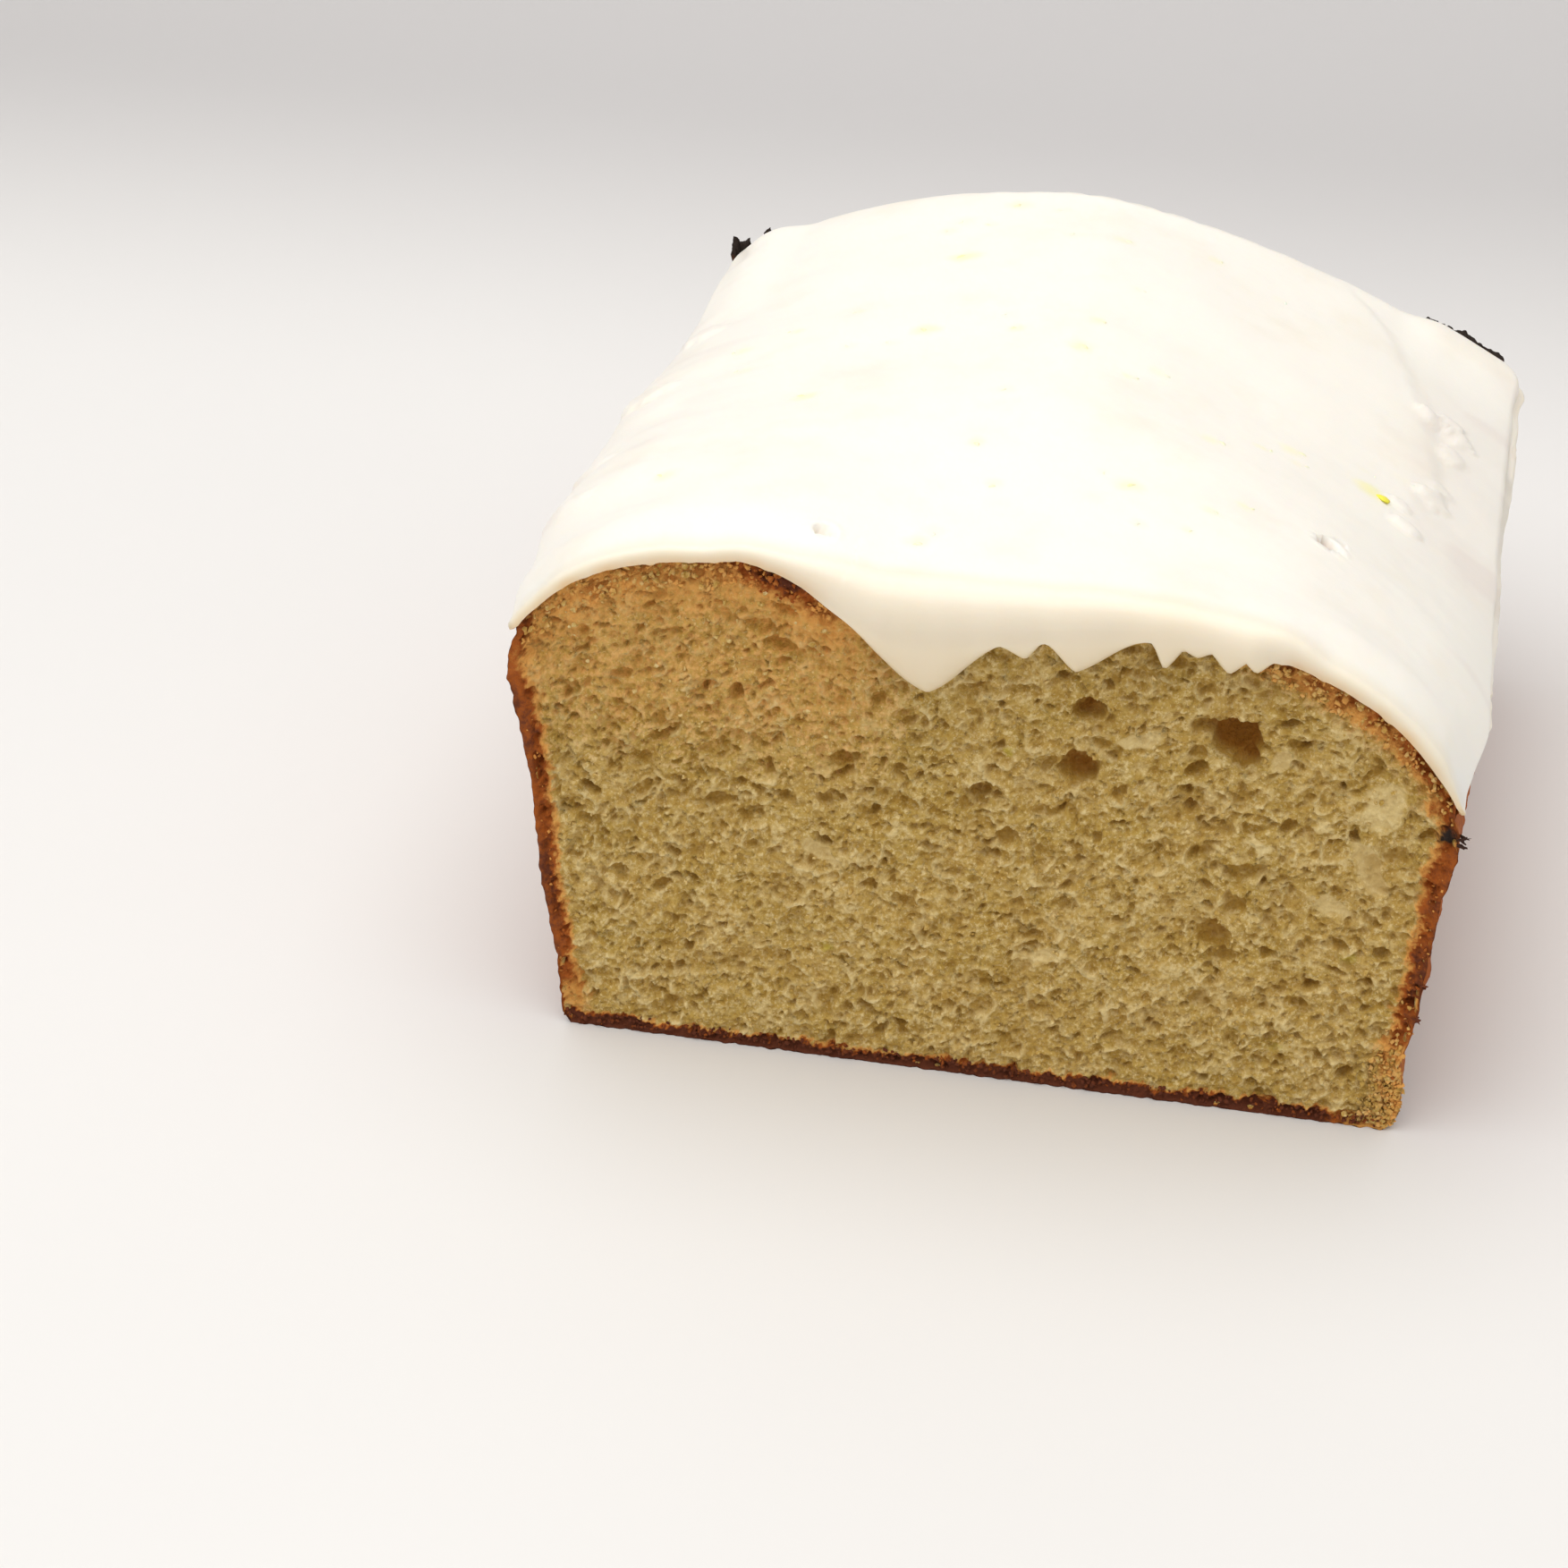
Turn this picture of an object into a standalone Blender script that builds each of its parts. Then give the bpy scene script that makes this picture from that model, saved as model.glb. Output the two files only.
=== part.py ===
"""A lemon drizzle loaf cake, cut across: the sponge with its browned crust, and the coat of set icing on it.

X runs across the cut face, Y from the cut into the loaf and Z up from the base. Columns describe the loaf's
outside. Each starts at the middle of the top, runs out over the dome to the edge, and drops from there down
the cut face, a side wall or the far end. The sponge and the icing share them, so the coat lies evenly.
"""

import math

import bmesh
import bpy
import numpy as np
from mathutils import Vector, noise

# The loaf that the tin shaped, in metres
LENGTH = 0.1398
RIM_HALF_WIDTH = 0.0632
BASE_HALF_WIDTH = 0.0580
BASE_SETBACK = 0.0050
END_ROUNDING = 0.0099
PLAN_POWER = 6.0
FOOT_RADIUS = 0.0025
FOOT_INSET = 0.0012

# The dome that rose above the tin's rim, at the cut and at the far end
RIM_LEFT = 0.0586
RIM_RIGHT = (0.0448, 0.0502)
CREST = (0.0760, 0.0764)
CREST_TILT = (0.0058, 0.0054)
SHOULDER_LEFT = (2.07, 1.36)
SHOULDER_RIGHT = (2.34, 1.21)
DOME_SETTLES = 0.075
TOP_MIDDLE_Y = 0.070

# The lengthwise crack in the crust, which the icing fills
CRACK_X = -0.010
CRACK_DEPTH = 0.0075
CRACK_LEFT = 0.022
CRACK_RIGHT = 0.045
CRACK_LENGTH = 0.060

# The edge line, where the icing turns down
EDGE_HALF_WIDTH = 0.0622
EDGE_LENGTH = 0.1388

# The icing
ICING_TOP = 0.0035
ICING_SIDE = 0.0023
ICING_LUMP = 0.0005
ICING_LUMP_SIZE = 0.016
CRACK_FILL = 0.55
GAP = 0.0003
SKIRT_GAP = 0.0005
TIP_FULLNESS = 0.55
HANG_FROM, HANG_TO = -0.018, 0.037
HANG_FADE = 0.007
LEAST_HANG = 0.35
LEAST_DROP = 0.0004
CORNER_TAPER = 0.55
LIP_TURN = 0.8

# Drips over the cut face: middle, length, reach to the left and to the right
DRIPS = (
    (-0.0065, 0.0082, 0.0115, 0.0100),
    (0.0060, 0.0034, 0.0040, 0.0030),
    (0.0125, 0.0050, 0.0045, 0.0045),
    (0.0238, 0.0043, 0.0040, 0.0035),
    (0.0326, 0.0038, 0.0050, 0.0022),
)
HEM = (0.0, 0.0345, 0.0018)

# How far the icing runs down the side walls and the far end
RUN_LEFT = 0.0110
RUN_RIGHT = 0.0060
RUN_END = 0.0055
RUN_WAVES = ((0.041, 0.45, 0.3), (0.019, 0.30, 1.9))
RUN_STARTS = 0.014

# Relief of the crumb and of the crust
CRUMB_RELIEF = 0.0005
CRUST_RELIEF = 0.0006
RELIEF_SIZE = 0.0055
ICED_MARGIN = 0.0020

# Large bubbles that the cut opened: middle across, height, half width, half height, depth
BUBBLES = (
    (0.0329, 0.0570, 0.0052, 0.0040, 0.0070),
    (0.0136, 0.0505, 0.0040, 0.0036, 0.0045),
    (0.0137, 0.0590, 0.0034, 0.0026, 0.0028),
)

# Burnt flakes where batter ran over the tin's rim at the far corners. Each station is its place across the
# end, as a share of the rim's half width, and the height of the flake's tip.
RIGHT_FLAKE = (
    (0.77, 0.0562),
    (0.83, 0.0570),
    (0.875, 0.0570),
    (0.91, 0.0550),
    (0.94, 0.0538),
    (0.965, 0.0532),
)
LEFT_FLAKE = (
    (-0.955, 0.0620),
    (-0.975, 0.0606),
    (-0.99, 0.0622),
    (-0.999, 0.0604),
    (-1.0, 0.0592),
)
FLAKE_FOOT = 0.0075
FLAKE_KNEE = 0.0020
FLAKE_OUT = (-0.0008, 0.0030, 0.0036)
FLAKE_THICKNESS = (0.0016, 0.0014, 0.0008)

# How finely the surfaces are divided
FRONT_STEPS = 40
SIDE_STEPS = 18
END_STEPS = 20
TOP_RINGS = 10
WALL_ROWS = 22
SKIRT_ROWS = 4

SPONGE_COLOUR = (0.55, 0.42, 0.19, 1.0)
ICING_COLOUR = (0.92, 0.90, 0.85, 1.0)


def ease(t):
    t = np.clip(t, 0.0, 1.0)
    return t * t * (3.0 - 2.0 * t)


def mix(a, b, t):
    return a + (b - a) * t


def rim_height(x, y):
    right = mix(*RIM_RIGHT, np.clip(y / LENGTH, 0.0, 1.0))
    return mix(RIM_LEFT, right, (x / RIM_HALF_WIDTH + 1.0) / 2.0)


def plan_reach(x, y):
    """1 on the loaf's outline at the rim, and less inside it."""
    across = np.abs(x / RIM_HALF_WIDTH) ** PLAN_POWER
    along = (np.maximum(y - (LENGTH - END_ROUNDING), 0.0) / END_ROUNDING) ** PLAN_POWER
    return np.clip((across + along) ** (1.0 / PLAN_POWER), 0.0, 1.0)


def crack_depth(x, y):
    half = np.where(x < CRACK_X, CRACK_LEFT, CRACK_RIGHT)
    across = np.cos(0.5 * math.pi * np.clip((x - CRACK_X) / half, -1.0, 1.0)) ** 2
    return CRACK_DEPTH * across * (1.0 - ease(y / CRACK_LENGTH))


def crust_height(x, y):
    """Height of the crust under the icing."""
    settled = ease(y / DOME_SETTLES)
    side = (x / RIM_HALF_WIDTH + 1.0) / 2.0
    rim = rim_height(x, y)
    crest = mix(*CREST, settled) - mix(*CREST_TILT, settled) * x / RIM_HALF_WIDTH
    power = mix(mix(*SHOULDER_LEFT, settled), mix(*SHOULDER_RIGHT, settled), ease(side))
    dome = (1.0 - plan_reach(x, y) ** power) ** (1.0 / power)
    return rim + (crest - rim) * dome - crack_depth(x, y)


def crust_normal(x, y):
    step = 0.0002
    slope_x = (crust_height(x + step, y) - crust_height(x - step, y)) / (2.0 * step)
    slope_y = (crust_height(x, y + step) - crust_height(x, y - step)) / (2.0 * step)
    normal = np.stack([-slope_x, -slope_y, np.ones_like(slope_x)], -1)
    return normal / np.linalg.norm(normal, axis=-1, keepdims=True)


class Columns:
    """The columns' places on the edge line, anticlockwise from the cut's left corner."""

    def __init__(self):
        front = np.linspace(-1.0, 1.0, FRONT_STEPS + 1)
        side = np.linspace(0.0, 1.0, SIDE_STEPS + 1)[1:]
        share = np.linspace(1.0, -1.0, END_STEPS + 1)[1:]
        across = np.sign(share) * (1.0 - (1.0 - np.abs(share)) ** 2.2)
        straight = (LENGTH - END_ROUNDING) / LENGTH
        bow = (1.0 - np.abs(across) ** PLAN_POWER) ** (1.0 / PLAN_POWER)
        end = straight + (1.0 - straight) * bow
        right, left = side * straight, side[::-1][1:] * straight
        self.across = np.concatenate([front, np.ones(SIDE_STEPS), across, -np.ones(SIDE_STEPS - 1)])
        self.along = np.concatenate([np.zeros(FRONT_STEPS + 1), right, end, left])
        self.x = self.across * EDGE_HALF_WIDTH
        self.y = self.along * EDGE_LENGTH
        self.front = self.along == 0.0
        self.inner_front = self.front & (np.abs(self.across) < 1.0)
        self.edge_z = crust_height(self.x, self.y)
        self.rim_z = rim_height(self.x, self.y)
        self.out = self.outward()
        self.drop = self.icing_drop()

    def outward(self):
        """Level direction out of the side and end walls; nought on the cut face."""
        end = np.maximum(self.along * LENGTH - (LENGTH - END_ROUNDING), 0.0) / END_ROUNDING
        out_x = np.sign(self.across) * np.abs(self.across) ** (PLAN_POWER - 1.0) / RIM_HALF_WIDTH
        out_y = end ** (PLAN_POWER - 1.0) / END_ROUNDING
        out = np.stack([out_x, out_y, np.zeros_like(out_x)], -1)
        out /= np.linalg.norm(out, axis=-1, keepdims=True) + 1e-12
        out[self.inner_front] = 0.0
        return out

    def icing_drop(self):
        """How far the icing runs down from the edge in each column."""
        drop = np.full_like(self.x, LEAST_DROP)
        hem_from, hem_to, hem = HEM
        drop = np.where((self.x > hem_from) & (self.x < hem_to), hem, drop)
        for middle, length, left, right in DRIPS:
            reach = np.where(self.x < middle, left, right)
            near = np.clip(1.0 - np.abs(self.x - middle) / reach, 0.0, 1.0)
            drop = np.maximum(drop, length * mix(near, ease(near), 0.5))
        steps = np.hypot(np.diff(self.x, prepend=self.x[0]), np.diff(self.y, prepend=self.y[0]))
        walked = np.cumsum(steps)
        wave = np.ones_like(walked)
        for size, share, turn in RUN_WAVES:
            wave += share * np.sin(2.0 * math.pi * walked / size + turn)
        end = ease((self.y - 0.120) / 0.018)
        run = mix(np.where(self.x < 0.0, RUN_LEFT, RUN_RIGHT), RUN_END, end) * wave
        at_flakes = ease((np.abs(self.across) - 0.60) / 0.15) * ease((self.y - 0.104) / 0.022)
        run = mix(np.maximum(run, LEAST_DROP), LEAST_DROP, at_flakes)
        run = mix(LEAST_DROP, run, ease(self.y / RUN_STARTS))
        return np.where(self.front, drop, run)

    def ring(self, share):
        """Points over the dome, this share of the way from the middle of the top to the edge."""
        x = self.x * share
        y = TOP_MIDDLE_Y + (self.y - TOP_MIDDLE_Y) * share
        return np.stack([x, y, crust_height(x, y)], -1)

    def at_height(self, z):
        """Points at these heights on the curtain below the edge."""
        above = np.clip((self.edge_z - z) / (self.edge_z - self.rim_z), 0.0, 1.0)
        below = np.clip(z / self.rim_z, 0.0, 1.0)
        lean_x = mix(BASE_HALF_WIDTH, RIM_HALF_WIDTH, below) / EDGE_HALF_WIDTH
        lean_y = mix(LENGTH - BASE_SETBACK, LENGTH, below) / EDGE_LENGTH
        over_rim = z > self.rim_z
        scale_x = np.where(over_rim, mix(1.0, RIM_HALF_WIDTH / EDGE_HALF_WIDTH, above), lean_x)
        scale_y = np.where(over_rim, mix(1.0, LENGTH / EDGE_LENGTH, above), lean_y)
        points = np.stack([self.x * scale_x, self.y * scale_y, z], -1)
        foot = FOOT_INSET * np.clip(1.0 - z / FOOT_RADIUS, 0.0, 1.0) ** 2
        return points - self.out * foot[:, None]


def rings_of(columns):
    shares = 1.0 - (1.0 - np.arange(1, TOP_RINGS + 1) / TOP_RINGS) ** 1.8
    return [columns.ring(share) for share in shares]


def uneven(points, size):
    return np.array([noise.noise(Vector(point / size)) for point in points])


def relief(columns, points):
    """Pushes a row of the curtain in and out: crumb and bubbles on the cut, crags in the crust elsewhere."""
    iced = np.maximum(columns.drop, np.maximum(np.roll(columns.drop, 1), np.roll(columns.drop, -1)))
    row_height = columns.edge_z / WALL_ROWS
    bare = ease((columns.edge_z - iced - row_height - points[:, 2]) / ICED_MARGIN)
    foot = ease(points[:, 2] / FOOT_RADIUS)
    rough = uneven(points, RELIEF_SIZE) + 0.5 * uneven(points, RELIEF_SIZE / 2.3)
    into = CRUMB_RELIEF * rough
    for middle, height, half_width, half_height, depth in BUBBLES:
        across = (points[:, 0] - middle) / half_width
        upward = (points[:, 2] - height) / half_height
        into = into + depth * np.clip(1.0 - across**2 - upward**2, 0.0, 1.0)
    into = np.where(columns.inner_front, into * bare * foot, 0.0)
    crags = CRUST_RELIEF * rough * bare * foot
    return points + np.stack([0.0 * into, into, 0.0 * into], -1) + columns.out * crags[:, None]


def strip(upper, lower, count):
    """Triangles between two closed rows of points that start at these indices."""
    faces = []
    for k in range(count):
        after = (k + 1) % count
        faces.append((upper + k, lower + k, lower + after))
        faces.append((upper + k, lower + after, upper + after))
    return faces


def stacked(rows, first_point, last_point=None):
    """Vertices and triangles of a first point, a stack of closed rows, and a last point where there is one."""
    count = len(rows[0])
    vertices = [first_point] + [point for row in rows for point in row]
    faces = [(0, 1 + k, 1 + (k + 1) % count) for k in range(count)]
    for row in range(len(rows) - 1):
        faces += strip(1 + row * count, 1 + (row + 1) * count, count)
    if last_point is not None:
        start = 1 + (len(rows) - 1) * count
        vertices.append(last_point)
        faces += [(len(vertices) - 1, start + (k + 1) % count, start + k) for k in range(count)]
    return vertices, faces


def new_object(name, vertices, faces, colour=None, roughness=0.6):
    mesh = bpy.data.meshes.new(name)
    mesh.from_pydata([tuple(map(float, vertex)) for vertex in vertices], [], faces)
    mesh.validate()
    mesh.shade_smooth()
    obj = bpy.data.objects.new(name, mesh)
    bpy.context.scene.collection.objects.link(obj)
    if colour:
        material = bpy.data.materials.new(name)
        material.use_nodes = True
        shader = material.node_tree.nodes["Principled BSDF"]
        shader.inputs["Base Color"].default_value = colour
        shader.inputs["Roughness"].default_value = roughness
        shader.inputs["Metallic"].default_value = 0.0
        mesh.materials.append(material)
    return obj


def top_middle():
    return np.array([0.0, TOP_MIDDLE_Y, float(crust_height(np.array(0.0), np.array(TOP_MIDDLE_Y)))])


def make_sponge(columns):
    rows = rings_of(columns)
    for fraction in np.linspace(1.0, 0.0, WALL_ROWS + 1)[1:]:
        rows.append(relief(columns, columns.at_height(columns.edge_z * fraction)))
    base_middle = np.array([0.0, LENGTH / 2.0, 0.0])
    vertices, faces = stacked(rows, top_middle(), base_middle)
    return new_object("sponge", vertices, faces, SPONGE_COLOUR, 0.85)


def flake_station(across, tip_z):
    """Six corners of a flake's section where it leaves the wall: foot, knee and tip, inner then outer."""
    straight = LENGTH - END_ROUNDING
    x = across * RIM_HALF_WIDTH
    y = straight + END_ROUNDING * (1.0 - abs(across) ** PLAN_POWER) ** (1.0 / PLAN_POWER)
    out_x = math.copysign(abs(across) ** (PLAN_POWER - 1.0) / RIM_HALF_WIDTH, across)
    out_y = ((y - straight) / END_ROUNDING) ** (PLAN_POWER - 1.0) / END_ROUNDING
    out = Vector((out_x, out_y, 0.0)).normalized()
    rim = float(rim_height(np.array(x), np.array(y)))
    heights = (rim - FLAKE_FOOT, rim - FLAKE_KNEE, tip_z)
    corners = []
    for height, reach, thickness in zip(heights, FLAKE_OUT, FLAKE_THICKNESS):
        for side in (0.0, thickness):
            corners.append(Vector((x, y, height)) + out * (reach + side))
    return corners


def make_flake(name, stations):
    """A thin ragged flange of burnt crust that leans out from the wall and stands past the rim."""
    vertices = [corner for station in stations for corner in flake_station(*station)]
    outline = (0, 2, 4, 5, 3, 1)
    size = len(outline)
    faces = []
    for station in range(len(stations) - 1):
        here, there = station * size, (station + 1) * size
        for k in range(size):
            a, b = outline[k], outline[(k + 1) % size]
            faces.append((here + a, here + b, there + b, there + a))
    faces.append(tuple(reversed(outline)))
    faces.append(tuple((len(stations) - 1) * size + k for k in outline))
    return new_object(name, vertices, faces)


def face_out(obj):
    """Turns the mesh's faces outwards."""
    shape = bmesh.new()
    shape.from_mesh(obj.data)
    bmesh.ops.recalc_face_normals(shape, faces=shape.faces)
    shape.to_mesh(obj.data)
    shape.free()


def fuse(body, pieces):
    """Joins the pieces to the body by one Boolean union, and removes them."""
    group = bpy.data.collections.new(body.name + "_flakes")
    bpy.context.scene.collection.children.link(group)
    for piece in pieces:
        bpy.context.scene.collection.objects.unlink(piece)
        group.objects.link(piece)
    union = body.modifiers.new("flakes", "BOOLEAN")
    union.operation = "UNION"
    union.operand_type = "COLLECTION"
    union.collection = group
    union.solver = "EXACT"
    bpy.context.view_layer.objects.active = body
    bpy.ops.object.modifier_apply(modifier=union.name)
    for piece in pieces:
        bpy.data.objects.remove(piece, do_unlink=True)
    bpy.data.collections.remove(group)


def icing_thickness(points):
    """Depth of icing over the dome, with soft lumps, and more of it in the crack."""
    x, y = points[:, 0], points[:, 1]
    outer = ease((plan_reach(x, y) - 0.55) / 0.45)
    cut = 1.0 - ease(y / 0.012)
    base = mix(ICING_TOP, ICING_SIDE, outer * (1.0 - 0.5 * cut))
    base = base * mix(1.0, CORNER_TAPER, cut * ease((np.abs(x) / EDGE_HALF_WIDTH - 0.88) / 0.12))
    lumps = ICING_LUMP * uneven(points, ICING_LUMP_SIZE)
    return base + lumps + CRACK_FILL * crack_depth(x, y)


def make_icing(columns):
    over_cut = ease((columns.x - HANG_FROM) / HANG_FADE + 0.5) * ease((HANG_TO - columns.x) / HANG_FADE + 0.5)
    hang = mix(LEAST_HANG, 1.0, over_cut)
    facing = columns.out.copy()
    facing[columns.front, 1] -= hang[columns.front]
    inner, outer = [], []
    rings = rings_of(columns)
    for number, row in enumerate(rings):
        normal = crust_normal(row[:, 0], np.maximum(row[:, 1], 0.0004))
        turn = facing if number == len(rings) - 1 else 0.0 * facing
        along = normal + turn * LIP_TURN
        along /= np.linalg.norm(along, axis=-1, keepdims=True)
        inner.append(row + (normal + turn) * GAP)
        outer.append(row + (normal + turn) * GAP + along * icing_thickness(row)[:, None])
    edge_thickness = icing_thickness(rings[-1])
    to_rim = np.where(columns.front, columns.drop / SKIRT_ROWS, columns.edge_z - columns.rim_z)
    first = np.minimum(to_rim, columns.drop / 2.0)
    for step in range(1, SKIRT_ROWS + 1):
        share = step / SKIRT_ROWS
        down = mix(first, columns.drop, (step - 1) / (SKIRT_ROWS - 1))
        row = columns.at_height(columns.edge_z - down)
        skirt = mix(edge_thickness, ICING_SIDE, share) * np.where(columns.front, hang, 1.0)
        if step == SKIRT_ROWS:
            skirt = skirt * TIP_FULLNESS
        inner.append(row + facing * SKIRT_GAP)
        outer.append(row + facing * (SKIRT_GAP + skirt[:, None]))
    top = top_middle()
    up = np.array([0.0, 0.0, 1.0])
    outside, faces = stacked(outer, top + up * (GAP + ICING_TOP))
    inside, turned = stacked(inner, top + up * GAP)
    shift = len(outside)
    faces += [(a + shift, c + shift, b + shift) for a, b, c in turned]
    count = len(columns.x)
    last = 1 + (len(outer) - 1) * count
    faces += strip(last, shift + last, count)
    return new_object("icing", outside + inside, faces, ICING_COLOUR, 0.35)


def centre_over_origin(objects):
    """Puts the middle of the whole cake's base at the origin."""
    points = np.array([vertex.co for obj in objects for vertex in obj.data.vertices])
    middle = (points.min(axis=0) + points.max(axis=0)) / 2.0
    for obj in objects:
        obj.location = (-middle[0], -middle[1], -points[:, 2].min())


def main():
    for obj in list(bpy.data.objects):
        bpy.data.objects.remove(obj, do_unlink=True)
    columns = Columns()
    sponge = make_sponge(columns)
    flakes = [make_flake("right_flake", RIGHT_FLAKE), make_flake("left_flake", LEFT_FLAKE)]
    for flake in flakes:
        face_out(flake)
    fuse(sponge, flakes)
    icing = make_icing(columns)
    centre_over_origin([sponge, icing])


main()
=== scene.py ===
"""A lemon drizzle loaf cake, cut across: its crumb, browned crust, burnt flakes, icing and zest, in Blender.

Lengths are in metres. The loaf is described from the middle of the cut face's foot: X runs across the cut,
Y from the cut into the loaf and Z up. Each piece is moved into the frame when its mesh is made.
"""

import math

import bpy
import numpy as np
from bpy.props import FloatProperty, FloatVectorProperty, IntProperty, PointerProperty
from bpy.types import Operator, Panel, PropertyGroup
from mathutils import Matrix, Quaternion, Vector, noise


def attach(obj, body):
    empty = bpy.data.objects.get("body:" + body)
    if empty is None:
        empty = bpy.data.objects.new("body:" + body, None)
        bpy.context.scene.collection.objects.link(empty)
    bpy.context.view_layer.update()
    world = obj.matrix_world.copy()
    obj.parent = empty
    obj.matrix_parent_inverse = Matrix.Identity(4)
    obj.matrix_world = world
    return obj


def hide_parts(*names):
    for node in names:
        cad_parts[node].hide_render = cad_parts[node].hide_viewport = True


bl_info = {
    "name": "Lemon drizzle loaf cake",
    "version": (1, 0, 0),
    "blender": (4, 5, 0),
    "location": "3D View > Sidebar > Loaf Cake",
    "description": "Builds the crumb, crust, icing and zest of a cut loaf cake",
    "category": "Add Mesh",
}

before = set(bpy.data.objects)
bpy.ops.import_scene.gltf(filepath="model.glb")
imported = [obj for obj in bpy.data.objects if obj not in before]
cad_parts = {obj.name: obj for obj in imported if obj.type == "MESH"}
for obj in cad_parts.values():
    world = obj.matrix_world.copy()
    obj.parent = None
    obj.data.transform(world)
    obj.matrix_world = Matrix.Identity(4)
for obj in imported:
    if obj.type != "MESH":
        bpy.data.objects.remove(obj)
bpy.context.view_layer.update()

# Where the middle of the cut face's foot lies in the frame
CUT_FOOT = np.array([0.00075, -0.06854, 0.0])

# The loaf that the tin shaped
LENGTH = 0.1398
RIM_HALF_WIDTH = 0.0632
BASE_HALF_WIDTH = 0.0580
BASE_SETBACK = 0.0050
END_ROUNDING = 0.0099
PLAN_POWER = 6.0
FOOT_RADIUS = 0.0025
FOOT_INSET = 0.0012

# The dome above the rim, at the cut and at the far end
RIM_LEFT = 0.0586
RIM_RIGHT = (0.0448, 0.0502)
CREST = (0.0760, 0.0764)
CREST_TILT = (0.0058, 0.0054)
SHOULDER_LEFT = (2.07, 1.36)
SHOULDER_RIGHT = (2.34, 1.21)
DOME_SETTLES = 0.075
TOP_MIDDLE_Y = 0.070

# The lengthwise crack in the crust
CRACK_X = -0.010
CRACK_DEPTH = 0.0075
CRACK_LEFT = 0.022
CRACK_RIGHT = 0.045
CRACK_LENGTH = 0.060

# How the cut's outline departs from the plain form: across, and how much higher it stands
CUT_SWELL = (
    (-0.0622, 0.0000), (-0.0590, -0.0001), (-0.0550, 0.0008), (-0.0495, 0.0012), (-0.0415, 0.0010),
    (-0.0360, 0.0005), (-0.0320, 0.0006), (-0.0285, 0.0001), (-0.0200, -0.0006), (-0.0120, -0.0004),
    (0.0200, 0.0006), (0.0330, 0.0014), (0.0400, 0.0018), (0.0460, 0.0017), (0.0515, 0.0014),
    (0.0550, 0.0008), (0.0590, -0.0002), (0.0622, 0.0000),
)
SWELL_FADES = 0.020

# How far the walls stand out from the tin's plain form at the cut: height, and distance
RIGHT_WALL = (
    (0.0000, 0.0002), (0.0040, 0.0007), (0.0080, 0.0002), (0.0106, -0.0010), (0.0136, -0.0005),
    (0.0190, -0.0002), (0.0245, -0.0005), (0.0330, -0.0008), (0.0373, -0.0011), (0.0415, -0.0006),
    (0.0476, -0.0003), (0.0498, -0.0008), (0.0520, 0.0000),
)
LEFT_WALL = (
    (0.0000, 0.0000), (0.0120, -0.0004), (0.0240, 0.0003), (0.0390, -0.0003), (0.0500, 0.0004),
    (0.0550, 0.0010), (0.0590, 0.0004), (0.0620, 0.0000),
)
WALL_SWELL = 0.00045

# The edge line, where the icing turns down
EDGE_HALF_WIDTH = 0.0622
EDGE_LENGTH = 0.1388

# Large hollows that the cut opened: middle across, height, half width, half height, turn, depth
HOLLOWS = (
    (0.0337, 0.0574, 0.0035, 0.0031, 0.0, 0.0048), (0.0303, 0.0586, 0.0026, 0.0011, -10.0, 0.0026),
    (0.0344, 0.0549, 0.0021, 0.0017, 20.0, 0.0036), (0.0132, 0.0506, 0.0030, 0.0025, 10.0, 0.0032),
    (0.0142, 0.0597, 0.0024, 0.0017, 15.0, 0.0028), (0.0285, 0.0526, 0.0018, 0.0012, 30.0, 0.0019),
    (0.0407, 0.0575, 0.0013, 0.0010, 0.0, 0.0016), (0.0492, 0.0450, 0.0010, 0.0009, 0.0, 0.0020),
    (0.0548, 0.0433, 0.0014, 0.0012, 20.0, 0.0012), (0.0362, 0.0382, 0.0033, 0.0010, 4.0, 0.0016),
    (0.0326, 0.0446, 0.0012, 0.0010, 0.0, 0.0012), (0.0361, 0.0449, 0.0012, 0.0009, 0.0, 0.0011),
    (0.0408, 0.0458, 0.0014, 0.0011, 50.0, 0.0018), (0.0434, 0.0452, 0.0011, 0.0009, 0.0, 0.0012),
    (0.0346, 0.0333, 0.0019, 0.0012, -35.0, 0.0016), (0.0322, 0.0280, 0.0021, 0.0024, 10.0, 0.0020),
    (0.0336, 0.0247, 0.0021, 0.0011, 10.0, 0.0018), (0.0394, 0.0261, 0.0014, 0.0009, -15.0, 0.0016),
    (0.0396, 0.0310, 0.0009, 0.0022, 30.0, 0.0012), (0.0314, 0.0170, 0.0014, 0.0016, 0.0, 0.0016),
    (0.0445, 0.0178, 0.0015, 0.0012, 0.0, 0.0014), (-0.0255, 0.0694, 0.0018, 0.0010, -35.0, 0.0018),
    (-0.0333, 0.0679, 0.0017, 0.0008, -20.0, 0.0012), (-0.0262, 0.0640, 0.0026, 0.0010, -12.0, 0.0018),
    (-0.0480, 0.0574, 0.0016, 0.0009, 10.0, 0.0014), (-0.0417, 0.0642, 0.0020, 0.0007, 5.0, 0.0011),
    (-0.0532, 0.0632, 0.0012, 0.0008, 0.0, 0.0010), (-0.0350, 0.0395, 0.0022, 0.0010, 12.0, 0.0018),
    (-0.0090, 0.0270, 0.0017, 0.0011, -20.0, 0.0016), (-0.0180, 0.0480, 0.0021, 0.0013, 25.0, 0.0020),
    (0.0040, 0.0390, 0.0016, 0.0012, 0.0, 0.0017),
)

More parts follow.
